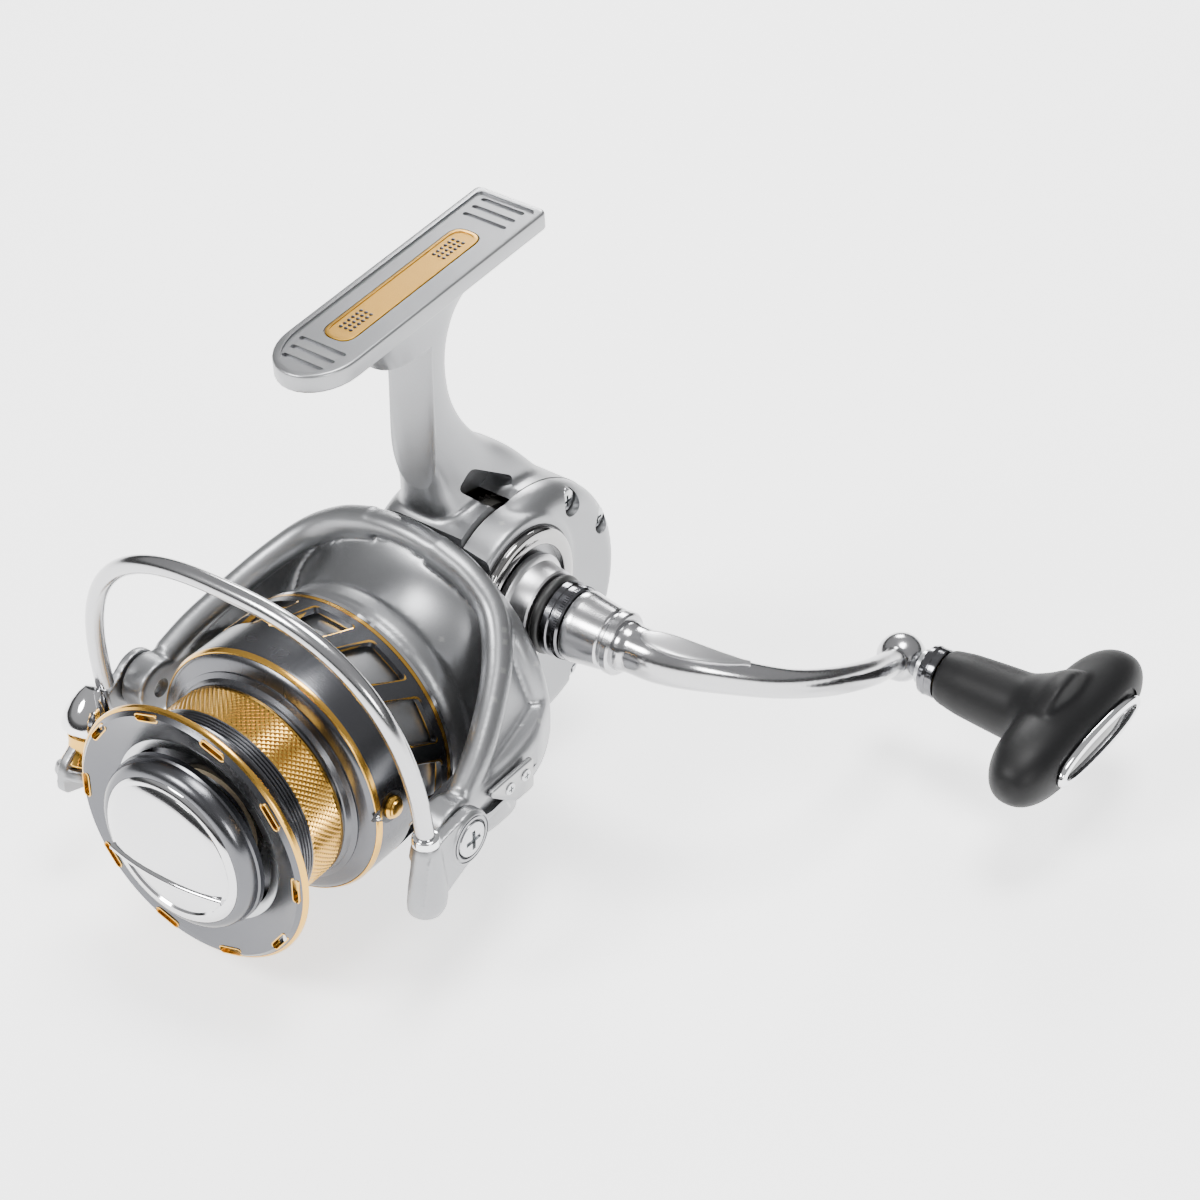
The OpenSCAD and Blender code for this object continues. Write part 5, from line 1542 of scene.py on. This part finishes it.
@dataclass
class Knob:
    """Soft T-shaped knob with its ferrule and end insert."""

    start: float = 57.9
    width: float = 41.0
    lobe_r: float = 6.6

    def grip(self, bench: Bench) -> None:
        """T-shaped grip, melted from a stem and a cross lobe."""
        x0 = self.start
        middle = x0 + 31.6
        stem = [(0, x0 + 8.2), (4.2, x0 + 8.2), (4.6, x0 + 8.6), (5.3, x0 + 12.5), (5.7, x0 + 18),
                (6.0, x0 + 23),
                (7.4, x0 + 26), (9.0, x0 + 28.5), (9.6, x0 + 31), (0, x0 + 34)]
        blank = Blank().lathe(stem, along_x(KNOB_AXIS), 72)
        half = self.width / 2
        sections = []
        for k in range(49):
            t = -1 + 2 * k / 48
            fall = max(0.0, 1 - abs(t) ** 3.4) ** 0.46
            r = max(0.25, self.lobe_r * fall * (0.94 + 0.06 * abs(t)))
            centre = Vector((middle - 0.5 * (1 - t * t), KNOB_AXIS.y + half * t, KNOB_AXIS.z))
            sections.append([centre + Vector((p, 0, q)) for p, q in superellipse(r, r, 2.3, 40)])
        blank.loft(sections)
        piece = fused(blank.made("knob_grip_moulded"), 0.42, 22)
        bore = Blank().lathe([(0, x0), (3.35, x0), (3.35, x0 + 29), (0, x0 + 29)], along_x(KNOB_AXIS), 48)
        pocket = Blank().prism(pill(26.4, 7.2, 12), 36.6, 44, self.end_place())
        cut(piece, bore.made("bore_tool"), pocket.made("pocket_tool"))
        bench.fit(piece, "knob", Slot.GRIP, SOFT_BLACK, "knob_grip", crisp=60)

    def end_place(self) -> Matrix:
        """Local X along the T, local Z out along the handle axis, from the knob's inner end."""
        turn = Matrix(((0, 0, 1, 0), (1, 0, 0, 0), (0, 1, 0, 0), (0, 0, 0, 1)))
        return Matrix.Translation((self.start, KNOB_AXIS.y, KNOB_AXIS.z)) @ turn

    def insert(self, bench: Bench) -> None:
        """Dark bright insert with its window."""
        place = self.end_place()
        plate = Blank().prism(superellipse(13.0, 3.4, 2.3, 56), 36.7, 38.0, place).made("knob_insert")
        bevelled(plate, 0.45, 4)
        cut(plate, Blank().prism(superellipse(11.4, 2.2, 2.2, 56), 37.3, 44, place).made("insert_tool"))
        bench.fit(plate, "knob", Slot.DARK, CHROME, "knob_window")
        window = Blank().prism(superellipse(11.3, 2.1, 2.2, 56), 36.9, 37.5, place).made("knob_window_pane")
        bench.fit(bevelled(window, 0.15, 2), "knob", Slot.PLASTIC, GLOSS_BLACK)

    def ferrule(self, bench: Bench) -> None:
        """Ferrule with a groove, turned in dark polished metal."""
        x = self.start
        ring = [(3.3, x + 5.2), (3.9, x + 5.2), (4.2, x + 5.5), (4.35, x + 6.2), (4.2, x + 6.5),
                (4.05, x + 6.7),
                (4.3, x + 6.9), (4.3, x + 7.9), (4.1, x + 8.1), (3.3, x + 8.1)]
        bench.turned("knob_ferrule_turned", ring, along_x(KNOB_AXIS), "knob", Slot.DARK, RING_METAL,
                     "knob_ferrule", steps=72)


# ---- studio ---------------------------------------------------------------------------------------


@dataclass
class Studio:
    """Camera, soft lights and a pale floor."""

    azimuth: float = 36.17
    elevation: float = 37.15
    roll: float = -0.28
    distance: float = 556.22
    lens: float = 102.08
    target: Point3 = (18.14, 24.76, -66.79)
    glow: float = 1.7

    def camera(self) -> None:
        """Camera at the fitted view."""
        az, el = math.radians(self.azimuth), math.radians(self.elevation)
        back = Vector((math.sin(az) * math.cos(el), -math.cos(az) * math.cos(el), math.sin(el)))
        data = bpy.data.cameras.new("camera")
        data.lens = self.lens
        data.sensor_width = 36
        data.clip_start = 0.01
        camera = bpy.data.objects.new("camera", data)
        bpy.context.scene.collection.objects.link(camera)
        right = Vector((math.cos(az), math.sin(az), 0))
        up = back.cross(right)
        turn = Matrix((right, up, back)).transposed().to_4x4() @ Matrix.Rotation(math.radians(self.roll), 4,
                                                                                 "Z")
        camera.matrix_world = Matrix.Translation((Vector(self.target) + back * self.distance) * MM) @ turn
        bpy.context.scene.camera = camera

    def lights(self) -> None:
        """Large soft boxes."""
        boxes = (("key", (-0.25, -0.55, 0.55), 0.30, 8.0), ("fill", (0.65, -0.25, 0.25), 0.22, 2.6),
                 ("top", (0.05, 0.15, 0.75), 0.36, 8.0), ("rear", (-0.35, 0.6, 0.30), 0.26, 4.0))
        for name, place, size, power in boxes:
            data = bpy.data.lights.new(name, "AREA")
            data.shape = "DISK"
            data.size = size
            data.energy = power
            lamp = bpy.data.objects.new(name, data)
            bpy.context.scene.collection.objects.link(lamp)
            lamp.location = place
            aim = Vector(self.target) * MM - Vector(place)
            lamp.rotation_euler = aim.to_track_quat("-Z", "Y").to_euler()

    def sky(self) -> None:
        """Sky that darkens at the horizon, so that bright metal has form."""
        world = bpy.data.worlds.new("studio")
        bpy.context.scene.world = world
        world.use_nodes = True
        tree = world.node_tree
        place = tree.nodes.new("ShaderNodeTexCoord")
        parts = tree.nodes.new("ShaderNodeSeparateXYZ")
        ramp = tree.nodes.new("ShaderNodeValToRGB")
        tree.links.new(place.outputs["Generated"], parts.inputs[0])
        tree.links.new(parts.outputs[2], ramp.inputs[0])
        ramp.color_ramp.elements[0].position = 0.0
        ramp.color_ramp.elements[0].color = (0.30, 0.30, 0.31, 1)
        ramp.color_ramp.elements[1].position = 0.75
        ramp.color_ramp.elements[1].color = (0.98, 0.98, 1.0, 1)
        for at, level in ((0.10, 0.10), (0.24, 0.30), (0.34, 0.85)):
            step = ramp.color_ramp.elements.new(at)
            step.color = (level, level, level * 1.01, 1)
        tree.links.new(ramp.outputs[0], tree.nodes["Background"].inputs["Color"])
        tree.nodes["Background"].inputs["Strength"].default_value = 0.5

    def floor(self, tools: ShadeTools) -> None:
        """Pale floor under the lowest point."""
        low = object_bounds()[0][2]
        bpy.ops.mesh.primitive_plane_add(size=8, location=(0, 0, low - 0.0005))
        floor = bpy.context.object
        floor.name = "floor"
        finish = Finish("pale_floor", (0.93, 0.93, 0.93), 0.0, 0.7, 0.02, 0.995, 2.0, 0.01).build(tools)
        shader = finish.node_tree.nodes["Principled BSDF"]
        shader.inputs["Emission Color"].default_value = (1, 1, 1, 1)
        shader.inputs["Emission Strength"].default_value = self.glow
        floor.data.materials.append(finish)
        floor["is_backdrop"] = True


def main() -> None:
    """Builds the reel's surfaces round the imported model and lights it."""
    bench = Bench()
    bench.dress_nodes()
    foot, case = Foot(), GearCase()
    rotor, bail = Rotor(), Bail()
    spool, drag = Spool(), DragKnob()
    handle, knob = Handle(), Knob()
    for build in (foot.plate, foot.inlay, case.housing, case.cover, case.bezel, case.rear_cap, case.screws,
                  case.dust_cap, rotor.frame_piece, rotor.covers, bail.wire, bail.holder, bail.lever,
                  bail.roller,
                  bail.pivots, spool.body, spool.trim, spool.band, spool.clip, drag.build, handle.stack,
                  handle.arm,
                  handle.axle, knob.grip, knob.insert, knob.ferrule):
        build(bench)
    studio = Studio()
    studio.camera()
    studio.lights()
    studio.sky()
    studio.floor(bench.tools)


if __name__ == "__main__":
    main()
